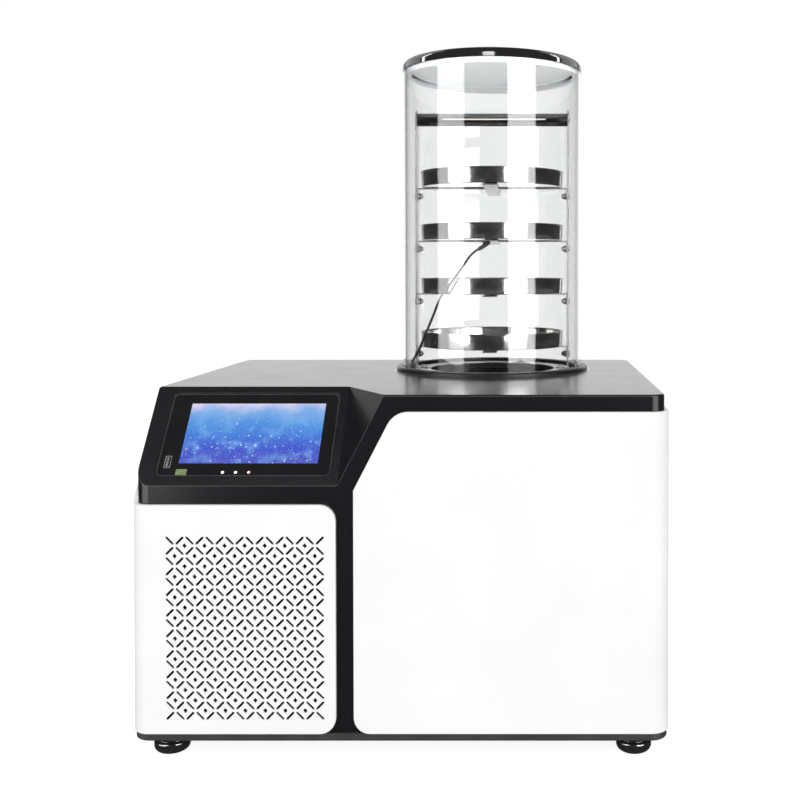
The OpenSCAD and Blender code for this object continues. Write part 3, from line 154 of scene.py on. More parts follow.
def make_cord():
    """The probe's lead as a round tube along its route."""
    origin = Vector((JAR[0], JAR[1], DECK_Z))
    path = [(origin + p) * MM for p in smooth_route(CABLE_ROUTE, LEAD_STEPS)]
    turns = arc(0, 360, LEAD_SIDES)[:-1]
    bm = bmesh.new()
    side = Vector((1, 0, 0))
    rings = []
    for i, p in enumerate(path):
        along = (path[min(i + 1, len(path) - 1)] - path[max(i - 1, 0)]).normalized()
        side = (side - along * side.dot(along)).normalized()
        across = along.cross(side)
        rings.append([bm.verts.new(p + LEAD_R * (side * c + across * s)) for c, s in turns])
    for a, b in zip(rings, rings[1:]):
        for k in range(LEAD_SIDES):
            bm.faces.new((a[k], a[(k + 1) % LEAD_SIDES], b[(k + 1) % LEAD_SIDES], b[k]))
    bm.faces.new(rings[0][::-1])
    bm.faces.new(rings[-1])
    lead = bpy.data.objects.new("probe_lead", finish_mesh(bm, "probe_lead"))
    scene.collection.objects.link(lead)
    length = sum((b - a).length for a, b in zip(path, path[1:]))
    return lead, path, length


# ---- mesh helpers ----

def link(name, mesh, body="cabinet", matrix=None):
    """Put a mesh in the scene as a piece that rides on a body."""
    piece = bpy.data.objects.new(name, mesh)
    scene.collection.objects.link(piece)
    if matrix is not None:
        piece.matrix_world = matrix
    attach(piece, body)
    return piece


def finish_mesh(bm, name, angle=35):
    """The mesh of bm, smooth apart from edges sharper than angle degrees."""
    mesh = bpy.data.meshes.new(name)
    bm.to_mesh(mesh)
    bm.free()
    mesh.shade_smooth()
    mesh.set_sharp_from_angle(angle=math.radians(angle))
    return mesh


def rounded(points, steps=4):
    """A closed outline whose corners [x, y, radius] are rounded."""
    found = []
    n = len(points)
    for i, (x, y, r) in enumerate(points):
        if not r:
            found.append(Vector((x, y)))
            continue
        a, b, c = Vector(points[i - 1][:2]), Vector((x, y)), Vector(points[(i + 1) % n][:2])
        u, w = (a - b).normalized(), (c - b).normalized()
        half = math.acos(max(-1, min(1, u.dot(w)))) / 2
        centre = b + (u + w).normalized() * (r / math.sin(half))
        first, last = b + u * (r / math.tan(half)) - centre, b + w * (r / math.tan(half)) - centre
        start = math.atan2(first.y, first.x)
        sweep = (math.atan2(last.y, last.x) - start + 3 * math.pi) % (2 * math.pi) - math.pi
        for k in range(steps + 1):
            angle = start + sweep * k / steps
            found.append(centre + r * Vector((math.cos(angle), math.sin(angle))))
    return found


def rounded_box(w, h, r, steps=4):
    """The outline of a box with half sizes w and h, its corners rounded by r."""
    return rounded([(-w, -h, r), (w, -h, r), (w, h, r), (-w, h, r)], steps)


def lathe_bm(profile, segments, closed):
    """Mesh of the profile (radius, height) in mm, turned about Z. A radius of 0 makes one point."""
    bm = bmesh.new()
    turns = arc(0, 360, segments)[:-1]
    rings = []
    for r, z in profile:
        if r == 0:
            rings.append([bm.verts.new((0, 0, z * MM))] * segments)
        else:
            rings.append([bm.verts.new((r * MM * c, r * MM * s, z * MM)) for c, s in turns])
    pairs = list(zip(rings, rings[1:])) + ([(rings[-1], rings[0])] if closed else [])
    for a, b in pairs:
        for k in range(segments):
            corners = []
            for v in (a[k], a[(k + 1) % segments], b[(k + 1) % segments], b[k]):
                if v not in corners:
                    corners.append(v)
            if len(corners) > 2:
                bm.faces.new(corners)
    bmesh.ops.recalc_face_normals(bm, faces=bm.faces)
    return bm


def lathe(name, profile, at, segments, closed=True, angle=35):
    """A turned piece of the cabinet, with its axis upright at a place in mm."""
    mesh = finish_mesh(lathe_bm(profile, segments, closed), name, angle)
    return weighted(link(name, mesh, matrix=Matrix.Translation([v * MM for v in at])))


def weighted(piece):
    """Let the large faces of a piece set the shading of its rounded edges."""
    modifier = piece.modifiers.new("weighted_normals", "WEIGHTED_NORMAL")
    modifier.keep_sharp = True
    modifier.weight = 90
    return piece


def rounded_copy(node, name, width, body="cabinet", segments=2, pick=None):
    """A copy of a CAD node's shape that stands for it, with sharp edges rounded width mm wide."""
    same_place = 0.00002
    same_plane = math.radians(0.6)
    sharp_from = math.radians(30)
    bm = bmesh.new()
    bm.from_mesh(nodes[node].data)
    bmesh.ops.remove_doubles(bm, verts=bm.verts, dist=same_place)
    bmesh.ops.dissolve_limit(bm, angle_limit=same_plane, verts=bm.verts, edges=bm.edges)
    sharp = [e for e in bm.edges if len(e.link_faces) == 2 and e.calc_face_angle(0) > sharp_from
             and (pick is None or pick(e))]
    bmesh.ops.bevel(bm, geom=sharp, offset=width * MM, offset_type="OFFSET", segments=segments,
                    profile=0.5, affect="EDGES", clamp_overlap=True, miter_outer="ARC",
                    harden_normals=False)
    bmesh.ops.triangulate(bm, faces=[f for f in bm.faces if len(f.verts) > 4])
    piece = link(name, finish_mesh(bm, name), body)
    weighted(piece)
    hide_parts(node)
    return piece


# ---- materials ----

def feed(tree, socket, value):
    """Give a socket a number, or join another node's output to it."""
    if isinstance(value, (int, float)):
        socket.default_value = value
    else:
        tree.links.new(value, socket)


def maths(tree, op, a, b):
    """The output of a Math node."""
    node = tree.nodes.new("ShaderNodeMath")
    node.operation = op
    feed(tree, node.inputs[0], a)
    feed(tree, node.inputs[1], b)
    return node.outputs[0]


class Paint:
    """A Principled material with its node tree, read from object coordinates in metres."""

    def __init__(self, name, colour, rough, metal=0, **sockets):
        self.mat = bpy.data.materials.new(name)
        self.mat.use_nodes = True
        self.tree = self.mat.node_tree
        self.bsdf = self.tree.nodes["Principled BSDF"]
        self.set("Base Color", (*colour, 1))
        self.set("Roughness", rough)
        self.set("Metallic", metal)
        self.mat.diffuse_color = (*colour, 1)
        for key, value in sockets.items():
            self.set(key.replace("_", " "), value)

    def set(self, socket, value):
        self.bsdf.inputs[socket].default_value = value

    def node(self, kind, **props):
        node = self.tree.nodes.new("ShaderNode" + kind)
        for key, value in props.items():
            setattr(node, key, value)
        return node

    def join(self, a, b):
        self.tree.links.new(a, b)

    def noise(self, size, detail, stretch=(1, 1, 1)):
        """Noise whose features are about size millimetres across, closer where stretch is over 1."""
        mapping = self.node("Mapping")
        mapping.inputs["Scale"].default_value = [s / (size * MM) for s in stretch]
        self.join(self.node("TexCoord").outputs["Object"], mapping.inputs["Vector"])
        noise = self.node("TexNoise")
        noise.inputs["Scale"].default_value = 1
        noise.inputs["Detail"].default_value = detail
        noise.inputs["Roughness"].default_value = 0.55
        self.join(mapping.outputs["Vector"], noise.inputs["Vector"])
        return noise.outputs["Fac"]

    def ranged(self, value, low, high, start=0.3, end=0.7):
        """A value between start and end, stretched to run from low to high."""
        m = self.node("MapRange")
        for key, v in (("From Min", start), ("From Max", end), ("To Min", low), ("To Max", high)):
            m.inputs[key].default_value = v
        self.join(value, m.inputs["Value"])
        return m.outputs["Result"]

    def rough(self, low, high, size, stretch=(1, 1, 1)):
        """Roughness that drifts between low and high."""
        drift = self.ranged(self.noise(size, 4, stretch), low, high)
        self.join(drift, self.bsdf.inputs["Roughness"])
        return self

    def bump(self, size, depth, stretch=(1, 1, 1), detail=2, second=None):
        """Relief about depth millimetres deep; second is (size, depth) of a coarser layer."""
        bump = self.relief(self.ranged(self.noise(size, detail, stretch), 0, 1), depth)
        if second:
            coarse_size, coarse_depth = second
            coarse = self.relief(self.noise(coarse_size, 1), coarse_depth)
            self.join(coarse.outputs["Normal"], bump.inputs["Normal"])
        self.join(bump.outputs["Normal"], self.bsdf.inputs["Normal"])
        return self

    def relief(self, height, depth):
        """A Bump node that takes height as relief depth millimetres deep."""
        bump = self.node("Bump")
        bump.inputs["Distance"].default_value = depth * MM
        bump.inputs["Strength"].default_value = 1
        self.join(height, bump.inputs["Height"])
        return bump

    def tint(self, a, b, size, stretch=(1, 1, 1), detail=4):
        """Colour that drifts between a and b."""
        mix = self.node("Mix", data_type="RGBA")
        for socket, colour in zip(MIX_COLOURS, (a, b)):
            mix.inputs[socket].default_value = (*colour, 1)
        self.join(self.ranged(self.noise(size, detail, stretch), 0, 1), mix.inputs["Factor"])
        self.join(mix.outputs[MIX_COLOUR_OUT], self.bsdf.inputs["Base Color"])
        return self


def make_materials():
    """The material of every slot: base colour and roughness, then how they drift, then relief."""
    m = {}
    m["white_panel"] = Paint("white_powder_coat", (0.88, 0.88, 0.875), 0.38).tint(
        (0.86, 0.86, 0.855), (0.9, 0.9, 0.897), 90).rough(0.34, 0.44, 25).bump(1.3, 0.006, second=(9, 0.01))
    m["black_shell"] = Paint("black_moulded_shell", (0.008, 0.008, 0.0098), 0.22, IOR=1.55).tint(
        (0.0074, 0.0074, 0.0092), (0.0086, 0.0086, 0.0104), 70).rough(0.2, 0.225, 60).bump(
            0.7, 0.0012)
    m["black_metal"] = Paint("black_powder_coat", (0.034, 0.034, 0.037), 0.42).tint(
        (0.031, 0.031, 0.034), (0.038, 0.038, 0.041), 40).rough(0.38, 0.5, 20).bump(1.1, 0.012)
    m["foot_black"] = Paint("foot_plastic", (0.012, 0.012, 0.013), 0.12, IOR=2.4).tint(
        (0.01, 0.01, 0.011), (0.016, 0.016, 0.018), 12).rough(0.08, 0.16, 8).bump(3, 0.006)
    m["bezel_black"] = Paint("bezel_film", (0.0095, 0.0095, 0.011), 0.3).tint(
        (0.0085, 0.0085, 0.01), (0.011, 0.011, 0.0125), 30).rough(0.26, 0.34, 15).bump(0.5, 0.003)
    # A lighter copy of the bezel's black for the rim bead: a painted highlight for the thin bright lines
    # along the bezel's border.
    m["bezel_rim"] = Paint("bezel_rim", (0.05, 0.05, 0.055), 0.2).tint(
        (0.042, 0.042, 0.046), (0.058, 0.058, 0.064), 30).rough(0.16, 0.26, 15).bump(0.5, 0.002)
    m["socket_metal"] = Paint("nickel_plate", (0.6, 0.59, 0.56), 0.18, 0.75).tint(
        (0.54, 0.53, 0.5), (0.66, 0.65, 0.63), 3).rough(0.12, 0.26, 2).bump(0.4, 0.003)
    m["sticker"] = Paint("blank_green_sticker", (0.14, 0.19, 0.07), 0.5).tint(
        (0.11, 0.16, 0.055), (0.2, 0.25, 0.1), 3, (0.35, 1, 1)).rough(0.4, 0.6, 2).bump(0.5, 0.004)
    m["circuit_board"] = Paint("solder_mask", (0.01, 0.09, 0.04), 0.3).tint(
        (0.006, 0.06, 0.028), (0.02, 0.13, 0.06), 3, (3, 1, 1)).rough(0.25, 0.4, 5).bump(
            1.5, 0.02, (4, 1, 1))
    m["polished_steel"] = Paint("polished_steel", (0.63, 0.62, 0.605), 0.1, 1).tint(
        (0.6, 0.59, 0.575), (0.66, 0.65, 0.635), 14, (1, 1, 3)).rough(0.07, 0.15, 9, (1, 1, 8)).bump(
            2.2, 0.0015, (0.3, 0.3, 8))
    # A dark copy of the polished steel for the rack's tube: its low reflectance paints the dark look of its
    # reflections, a painted shade.
    m["tube_steel"] = Paint("polished_tube_painted_shade", (0.2, 0.195, 0.19), 0.06, 1).tint(
        (0.18, 0.175, 0.17), (0.22, 0.215, 0.21), 30).rough(0.05, 0.09, 20).bump(8, 0.001)
    m["strip_steel"] = Paint("brushed_strip_steel", (0.52, 0.51, 0.5), 0.28, 1).tint(
        (0.46, 0.45, 0.44), (0.58, 0.57, 0.56), 6, (6, 6, 0.4)).rough(0.2, 0.36, 4, (8, 8, 0.3)).bump(
            0.6, 0.002, (4, 4, 0.2))
    # The plate is black anodised; its grey is lighter than that black and paints the light arcs reflected
    # on the floor inside the jar, a painted reflection.
    m["deck_ring"] = Paint("anodised_plate_painted_reflection", (0.11, 0.11, 0.113), 0.16).tint(
        (0.1, 0.1, 0.103), (0.12, 0.12, 0.124), 20).rough(0.12, 0.22, 14).bump(3, 0.003)
    m["copper"] = Paint("copper_tube", (0.72, 0.3, 0.17), 0.25, 1).tint(
        (0.62, 0.24, 0.13), (0.8, 0.38, 0.22), 8).rough(0.18, 0.4, 5).bump(3, 0.01)
    m["foam"] = Paint("insulation_foam", (0.72, 0.62, 0.36), 0.9).tint(
        (0.64, 0.53, 0.28), (0.8, 0.7, 0.44), 12).rough(0.8, 1, 4).bump(1.5, 0.25)
    m["seal_rubber"] = Paint("seal_rubber", (0.017, 0.017, 0.018), 0.32).tint(
        (0.014, 0.014, 0.015), (0.021, 0.021, 0.022), 18).rough(0.26, 0.4, 10).bump(0.8, 0.006)
    m["white_silicone"] = Paint("white_silicone", (0.86, 0.86, 0.86), 0.5, Subsurface_Weight=0.2,
                                Subsurface_Scale=0.004).tint(
        (0.83, 0.83, 0.835), (0.89, 0.89, 0.89), 20).rough(0.42, 0.58, 10).bump(1, 0.006)
    m["lid_black"] = Paint("lid_gloss_black", (0.016, 0.016, 0.0175), 0.09).tint(
        (0.014, 0.014, 0.0155), (0.018, 0.018, 0.0195), 30).rough(0.05, 0.12, 16).bump(18, 0.02)
    m["lead_black"] = Paint("lead_sleeve", (0.014, 0.014, 0.015), 0.4).tint(
        (0.01, 0.01, 0.011), (0.02, 0.02, 0.022), 5).rough(0.32, 0.5, 2).bump(0.35, 0.02)
    m["black_rubber"] = Paint("rubber", (0.02, 0.02, 0.02), 0.7).tint(
        (0.015, 0.015, 0.015), (0.028, 0.028, 0.028), 6).rough(0.6, 0.85, 4).bump(0.8, 0.03)
    m["black_steel"] = Paint("black_enamel", (0.012, 0.012, 0.013), 0.22).tint(
        (0.01, 0.01, 0.011), (0.018, 0.018, 0.02), 30).rough(0.16, 0.3, 12).bump(2, 0.02)
    m["coated_fins"] = Paint("black_coated_fins", (0.02, 0.02, 0.021), 0.55).tint(
        (0.014, 0.014, 0.015), (0.03, 0.03, 0.032), 5).rough(0.45, 0.7, 4).bump(1, 0.02)
    m["grey_metal"] = Paint("galvanised_steel", (0.35, 0.36, 0.37), 0.4, 1).tint(
        (0.28, 0.29, 0.3), (0.45, 0.46, 0.47), 9, detail=1).rough(0.3, 0.55, 8).bump(5, 0.01)
    m["fan_black"] = Paint("fan_nylon", (0.02, 0.02, 0.02), 0.45).tint(
        (0.015, 0.015, 0.015), (0.026, 0.026, 0.026), 8).rough(0.38, 0.55, 6).bump(0.7, 0.01)
    m["brass"] = Paint("machined_brass", (0.6, 0.42, 0.17), 0.25, 1).tint(
        (0.52, 0.35, 0.13), (0.68, 0.5, 0.23), 4).rough(0.18, 0.36, 3).bump(0.5, 0.006)
    m["socket_black"] = Paint("socket_nylon", (0.014, 0.014, 0.014), 0.4).tint(
        (0.011, 0.011, 0.011), (0.019, 0.019, 0.019), 8).rough(0.34, 0.5, 5).bump(0.5, 0.008)
    m["handle_red"] = Paint("red_plastic", (0.45, 0.012, 0.008), 0.3).tint(
        (0.38, 0.009, 0.006), (0.52, 0.018, 0.012), 8).rough(0.24, 0.4, 5).bump(0.7, 0.006)
    m["knob_black"] = Paint("knob_plastic", (0.014, 0.014, 0.014), 0.4).tint(
        (0.011, 0.011, 0.011), (0.02, 0.02, 0.02), 5).rough(0.34, 0.5, 3).bump(0.5, 0.01)
    m["clear_acrylic"] = Paint("clear_acrylic", (0.985, 0.992, 0.995), 0.0, IOR=1.52,
                               Transmission_Weight=1).bump(120, 0.02, (1, 1, 0.4), 0)
    m["screen"] = screen_picture()
    return m


def screen_picture():
    """A generic picture of light on water: a blue gradient with small sparkles.

    It is drawn in the screen's own frame, 0 to 1 across and up.
    """
    p = Paint("screen_picture", (0.005, 0.005, 0.008), 0.12)
    n, join = p.node, p.join
    x, y, w, h = [v * MM for v in SCREEN + SCREEN_SIZE]
    place = n("Mapping", vector_type="POINT")
    place.inputs["Location"].default_value = (0.5 - x / w, 0.5 - y / h, 0)
    place.inputs["Scale"].default_value = (1 / w, 1 / h, 0)
    join(n("TexCoord").outputs["Object"], place.inputs["Vector"])
    uv = place.outputs["Vector"]
    split = n("SeparateXYZ")
    join(uv, split.inputs[0])

    def shifted(location, scale):
        """The screen's frame, moved and scaled for a texture."""
        shift = n("Mapping")
        shift.inputs["Location"].default_value = (*location, 0)
        shift.inputs["Scale"].default_value = (*scale, 1)
        join(uv, shift.inputs["Vector"])
        return shift.outputs["Vector"]

    def noise(scale, detail, seed):
        tex = n("TexNoise", noise_dimensions="2D")
        tex.inputs["Scale"].default_value = 1
        tex.inputs["Detail"].default_value = detail
        join(shifted((seed, seed * 1.7), (scale * 2, scale)), tex.inputs["Vector"])
        return tex.outputs["Fac"]

    def stars(scale, size, seed, share):
        """Round dots: one in each chosen cell of a Voronoi pattern, fainter towards the top."""
        cells = n("TexVoronoi", voronoi_dimensions="2D", feature="F1")
        cells.inputs["Scale"].default_value = 1
        join(shifted((seed, seed * 0.37), (scale * 1.98, scale)), cells.inputs["Vector"])
        dot = p.ranged(cells.outputs["Distance"], 1, 0, size * 0.35, size)
        random = n("SeparateColor")
        join(cells.outputs["Color"], random.inputs[0])
        chosen = maths(p.tree, "GREATER_THAN", random.outputs[0], 1 - share)
        fade = p.ranged(split.outputs["Y"], 1, 0.15, 0.45, 0.8)
        bright = maths(p.tree, "MULTIPLY", maths(p.tree, "MULTIPLY", dot, chosen), random.outputs[1])
        return maths(p.tree, "MULTIPLY", bright, fade)

    def add(colour, factor, paint):
        """The picture so far with a paint mixed in by a factor."""
        under, over = MIX_COLOURS
        mix = n("Mix", data_type="RGBA", blend_type="MIX")
        join(factor, mix.inputs["Factor"])
        join(colour, mix.inputs[under])
        mix.inputs[over].default_value = (*paint, 1)
        return mix.outputs[MIX_COLOUR_OUT]

    wave = maths(p.tree, "MULTIPLY", maths(p.tree, "SUBTRACT", noise(2.2, 4, 3.1), 0.5), 0.3)
    ramp = n("ValToRGB")
    stops = [(0.0, (0.075, 0.10, 0.52)), (0.22, (0.055, 0.095, 0.6)), (0.45, (0.055, 0.19, 0.68)),
             (0.66, (0.085, 0.3, 0.74)), (0.84, (0.2, 0.42, 0.8)), (0.95, (0.52, 0.57, 0.84)),
             (1.0, (0.72, 0.66, 0.86))]
    elements = ramp.color_ramp.elements
    while len(elements) < len(stops):
        elements.new(0.5)
    for element, (pos, colour) in zip(elements, stops):
        element.position = pos
        element.color = (*colour, 1)
    join(maths(p.tree, "ADD", split.outputs["Y"], wave), ramp.inputs["Fac"])
    colour = ramp.outputs["Color"]

    wide = p.ranged(noise(5, 5, 9.4), 0, 0.5, 0.5, 0.75)
    fine = p.ranged(noise(38, 3, 21.7), 0, 0.38, 0.52, 0.72)
    colour = add(colour, wide, (0.22, 0.5, 0.9))
    colour = add(colour, fine, (0.3, 0.42, 0.9))
    for scale, size, seed, share in ((24, 0.3, 5.2, 0.07), (12, 0.2, 11.9, 0.1), (6, 0.17, 2.6, 0.13)):
        colour = add(colour, stars(scale, size, seed, share), (0.75, 0.9, 1.0))
    join(colour, p.bsdf.inputs["Emission Color"])
    p.set("Emission Strength", 1.0)
    p.rough(0.08, 0.14, 30)
    return p


def lamp_material(name, colour, strength):
    """A frosted lens that glows."""
    p = Paint(name, (0.6, 0.6, 0.6), 0.2).rough(0.15, 0.3, 1)
    p.set("Emission Color", (*colour, 1))
    p.set("Emission Strength", strength)
    return p


# ---- pieces ----

def dress(piece, materials, slot):
    """Give a piece the material of its slot."""
    piece.data.materials.clear()
    piece.data.materials.append(materials[slot].mat)
    return piece


def make_chamber(materials):
    """The jar, the seal that it stands in, and its lid with the gasket under it."""
    jar = (*JAR, 0)
    bore = JAR_R - JAR_WALL
    base = DECK_Z + SEAL_SEAT
    top = base + JAR_LEN
    edge = 0.8
    tube = lathe("jar_glass", rounded([(bore, base, edge), (JAR_R, base, edge), (JAR_R, top, edge),
                                       (bore, top, edge)]), jar, segments=160)
    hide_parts("jar_tube")
    tube.visible_shadow = False
    dress(tube, materials, "clear_acrylic")

    lip_z = base + 1.8
    chamfer = 2
    inside = bore - 3
    outside = JAR_R + SEAL_OVERHANG
    seal = lathe("jar_seal_lip", rounded([
        (inside, DECK_Z, 0.3), (outside, DECK_Z, 0.6), (outside, lip_z - chamfer, 0.8),
        (outside - chamfer, lip_z, 0.8), (JAR_R + FIT_GAP, lip_z, 0.5), (JAR_R + FIT_GAP, base, 0),
        (bore - FIT_GAP, base, 0), (bore - FIT_GAP, lip_z, 0.6), (inside, lip_z, 0.6)]), jar,
        segments=160)
    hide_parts("jar_seal")
    dress(seal, materials, "seal_rubber")

    plug_z = top - 6
    plug_in = bore - 7
    sheet_z = top + GASKET_T / 2
    gasket_r = JAR_R - 1.8
    lid_z = top + GASKET_T
    gasket = lathe("lid_gasket_ring", rounded([
        (plug_in, plug_z, 0.5), (bore - FIT_GAP, plug_z, 0.6), (bore - FIT_GAP, top, 0),
        (gasket_r, top, 0.4), (gasket_r, lid_z, 0.3), (0, lid_z, 0), (0, sheet_z, 0),
        (plug_in, sheet_z, 1)]), jar, closed=False, segments=160)
    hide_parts("lid_gasket")
    dress(gasket, materials, "white_silicone")

    lip_in = JAR_R - 1.5
    lip_low = lid_z - 2.7
    lid_top = lid_z + LID_T
    lid = lathe("jar_lid_plate", rounded([
        (0, lid_z, 0), (lip_in, lid_z, 0), (lip_in, lip_low, 0), (JAR_R, lip_low, 0.4),
        (JAR_R, lid_top, LID_ROUND), (0, lid_top, 0)], 12), jar, closed=False, segments=192)
    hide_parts("jar_lid")
    dress(lid, materials, "lid_black")


def make_trays(materials):
    """Round trays with a rolled bead along the rim."""
    bead_r = 1
    outside = [(0, 0), (TRAY_R - 4.5, 0), (TRAY_R - 2.8, 0.25), (TRAY_R - 1.9, 1.2),
               (TRAY_R - 1.05, TRAY_H - 1.9)]
    bead = [(TRAY_R + bead_r * (c - 1), TRAY_H + bead_r * (s - 1)) for c, s in arc(-40, 240, 10)]
    inside = [(TRAY_R - 2.25, TRAY_H - 2.3), (TRAY_R - 2.95, 2.2), (TRAY_R - 3.8, 1.25),
              (TRAY_R - 5.2, TRAY_T), (0, TRAY_T)]
    for i in range(TRAYS):
        place = (*JAR, DECK_Z + TRAY_FIRST + i * TRAY_PITCH)
        tray = lathe(f"tray_dish_{i + 1}", outside + bead + inside, place, segments=144, closed=False,
                     angle=50)
        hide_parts(f"tray_{i + 1}")
        dress(tray, materials, "polished_steel")


def make_feet(materials):
    """Moulded feet: a rounded pad below, a groove and a head above."""
    bulge = 7
    groove_r = 15.96
    head = rounded([(0, FOOT_H, 0), (17.5, FOOT_H, 0.5), (groove_r, 16, 0.8), (groove_r, 13.2, 0.6),
                    (FOOT_R, 11.6, 2.4), (FOOT_R, bulge, 0)], 6)
    pad = [(FOOT_R + bulge * (c - 1), bulge * (1 - s)) for c, s in arc(0, 90, 10)]
    outline = [tuple(p) for p in head[:-1]] + pad + [(0, 0)]
    for row, y in FOOT_Y.items():
        for side, x in (("left", -FOOT_X), ("right", FOOT_X)):
            foot = lathe(f"foot_pad_{row}_{side}", outline, (x, y, 0), segments=96, closed=False)
            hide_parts(f"foot_{row}_{side}")
            dress(foot, materials, "foot_black")


def add_bead(bezel):
    """The low round rim moulded along the bezel's border; its faces take a second, lighter black that is a
    painted highlight.
    """
    inset = 0.9
    half_width = 0.8
    rise = 0.65
    low = BEZEL_TOP - 0.02
    steps = 6
    w, h, r = BEZEL_SIZE[0] / 2 - inset, BEZEL_SIZE[1] / 2 - inset, BEZEL_R - inset
    line = rounded_box(w, h, r, 8)
    n = len(line)
    bm = bmesh.new()
    bm.from_mesh(bezel.data)
    loops = []
    for i, p in enumerate(line):
        along = (line[(i + 1) % n] - line[i - 1]).normalized()
        across = Vector((along.y, -along.x)) * half_width
        middle = Vector((*BEZEL, low)) + p.to_3d()
        loops.append([bm.verts.new(CONSOLE @ ((middle + Vector((*(across * c), rise * s))) * MM))
                      for c, s in arc(0, 180, steps)])
    for a, b in zip(loops, loops[1:] + loops[:1]):
        for k in range(steps):
            face = bm.faces.new((a[k], b[k], b[k + 1], a[k + 1]))
            face.smooth = True
            # The second slot is the lighter black that paints the rim's highlight.
            face.material_index = 1
    bm.to_mesh(bezel.data)
    bm.free()
    return bezel


def off_grille(edge):
    """Whether an edge lies outside the field of grille openings in the left panel's front."""
    middle = (edge.verts[0].co + edge.verts[1].co) / 2
    across = abs(middle.x - GRILLE_X * MM) < GRILLE_HALF_W * MM
    upright = abs(middle.z - GRILLE_Z * MM) < GRILLE_HALF_H * MM
    return not (middle.y < GRILLE_FRONT_Y * MM and across and upright)


def make_copies(materials):
    """The CAD's own shapes with their sharp edges rounded."""
    def copy(node, width, **kw):
        return dress(rounded_copy(node, node + "_finished", width, **kw), materials, slots[node])

    copy("left_panel", 0.7, pick=off_grille)
    copy("right_panel", 0.7)
    copy("cover_shell", 1.3, segments=3)
    copy("base_pan", 0.5)
    # The bead's slot is the lighter black, a painted highlight.
    add_bead(copy("console_bezel", 0.45)).data.materials.append(materials["bezel_rim"].mat)
    copy("rack_ring", 0.3)
    copy("rack_post_left", 0.35)
    copy("rack_post_right", 0.35)
    for i in range(SHELVES):
        copy(f"shelf_{i + 1}", 0.3)
    # The tube takes the darker steel, whose colour is a painted shade.
    copy("rack_tube", 0.4).data.materials[0] = materials["tube_steel"].mat
    copy("chamber_ring", 0.4)
    for node in ("mains_inlet", "pump_outlet", "switch_frame"):
        copy(node, 0.35)
    copy("vacuum_port", 0.4)
    copy("vent_valve", 0.4)
    copy("drain_valve", 0.5)
    copy("drain_handle", 0.5, body="drain_handle")
    copy("vent_knob", 0.5, body="vent_knob")
    copy("power_rocker", 0.4, body="power_switch")


def make_display(materials):
    """The display's glass in front of its wider frame, each with a small chamfer."""
    w, h = SCREEN_SIZE[0] / 2, SCREEN_SIZE[1] / 2
    glass_t = 1
    chamfer = 0.15
    glass_low = SCREEN_TOP - glass_t
    frame_low = glass_low - DISPLAY_T
    frame_w, frame_h = w + DISPLAY_BORDER[0], h + DISPLAY_BORDER[1]
    bm = bmesh.new()
    for half_w, half_h, low, high, r in ((w, h, glass_low, SCREEN_TOP, 0.3),
                                         (frame_w, frame_h, frame_low, glass_low, 1)):
        ring = rounded_box(half_w, half_h, r)
        loops = [[bm.verts.new(((SCREEN[0] + p.x * s) * MM, (SCREEN[1] + p.y * s) * MM, z * MM))
                  for p in ring]
                 for z, s in ((low, 1), (high - chamfer, 1), (high, 1 - chamfer / half_w))]
        for a, b in zip(loops, loops[1:]):
            for k in range(len(a)):
                bm.faces.new((a[k], a[(k + 1) % len(a)], b[(k + 1) % len(a)], b[k]))
        bm.faces.new(loops[-1])
        bm.faces.new(loops[0][::-1])
    screen = link("display_glass", finish_mesh(bm, "display_glass"), matrix=CONSOLE)
    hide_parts("touch_display")
    dress(screen, materials, "screen")
    screen.visible_glossy = False
    screen.visible_diffuse = False


def make_lamps():
    """The row of domed status lamps, each with a flange under it."""
    middle_x, y = LAMP_MIDDLE
    flange = [(0, -3.2), (2, -3.2), (2, -2.2)]
    dome = [(1.45, -2.2), (1.45, -0.75), (1.3, -0.45), (0.9, -0.2), (0.45, -0.06), (0, 0)]
    white = ("white", (1.0, 0.98, 0.95), 2.2)
    red = ("red", (1.0, 0.35, 0.42), 2.4)
    for i, (word, colour, strength) in enumerate((white, white, red)):
        mesh = finish_mesh(lathe_bm(flange + dome, 32, closed=False), f"lamp_{i + 1}", angle=60)
        x = middle_x + (i - 1) * LAMP_PITCH
        place = CONSOLE @ Matrix.Translation((x * MM, y * MM, LAMP_TOP * MM))
        lamp = link(f"lamp_{i + 1}", mesh, matrix=place)
        lamp.data.materials.append(lamp_material(f"lamp_{word}_{i + 1}", colour, strength).mat)
    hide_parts("status_lamps")


def paint_frame(materials):
    """The CAD nodes that show as they are, in their slots' materials."""
    for node, slot in slots.items():
        if slot in materials:
            mesh = nodes[node].data
            for k in range(len(mesh.materials)):
                mesh.materials[k] = materials[slot].mat


# ---- stage and light ----

def make_stage():
    """A plain white floor."""
    bpy.ops.mesh.primitive_plane_add(size=60, location=(0, 0, 0))
    floor = bpy.context.object
    floor.name = "floor"
    floor.visible_glossy = False
    floor.visible_transmission = False
    p = Paint("floor", (0.3, 0.3, 0.3), 0.9)
    p.set("Emission Color", (1, 1, 1, 1))
    p.set("Emission Strength", 0.9)
    p.set("Specular IOR Level", 0)
    floor.data.materials.append(p.mat)


def soft_light(name, place, target, size, power, diffuse=True, glossy=True, only=(), skip=(),
               colour=(1, 1, 1)):
    """A soft box at a place, turned to a target, all in metres, with its power in watts.

    only holds the pieces that it lights, or skip those that it doesn't.
    """
    light = bpy.data.lights.new(name, "AREA")
    light.shape = "RECTANGLE"
    light.color = colour
    light.size, light.size_y = size
    light.energy = power
    lamp = bpy.data.objects.new(name, light)
    scene.collection.objects.link(lamp)
    lamp.location = place
    lamp.rotation_euler = (Vector(target) - Vector(place)).to_track_quat("-Z", "Y").to_euler()
    lamp.visible_camera = False
    lamp.visible_diffuse = diffuse
    lamp.visible_glossy = glossy
    lamp.visible_transmission = glossy
    if only or skip:
        linked = bpy.data.collections.new(name + "_lights")
        lamp.light_linking.receiver_collection = linked
        for piece in only or skip:
            linked.objects.link(piece)
        for entry in linked.collection_objects:
            entry.light_linking.link_state = "INCLUDE" if only else "EXCLUDE"


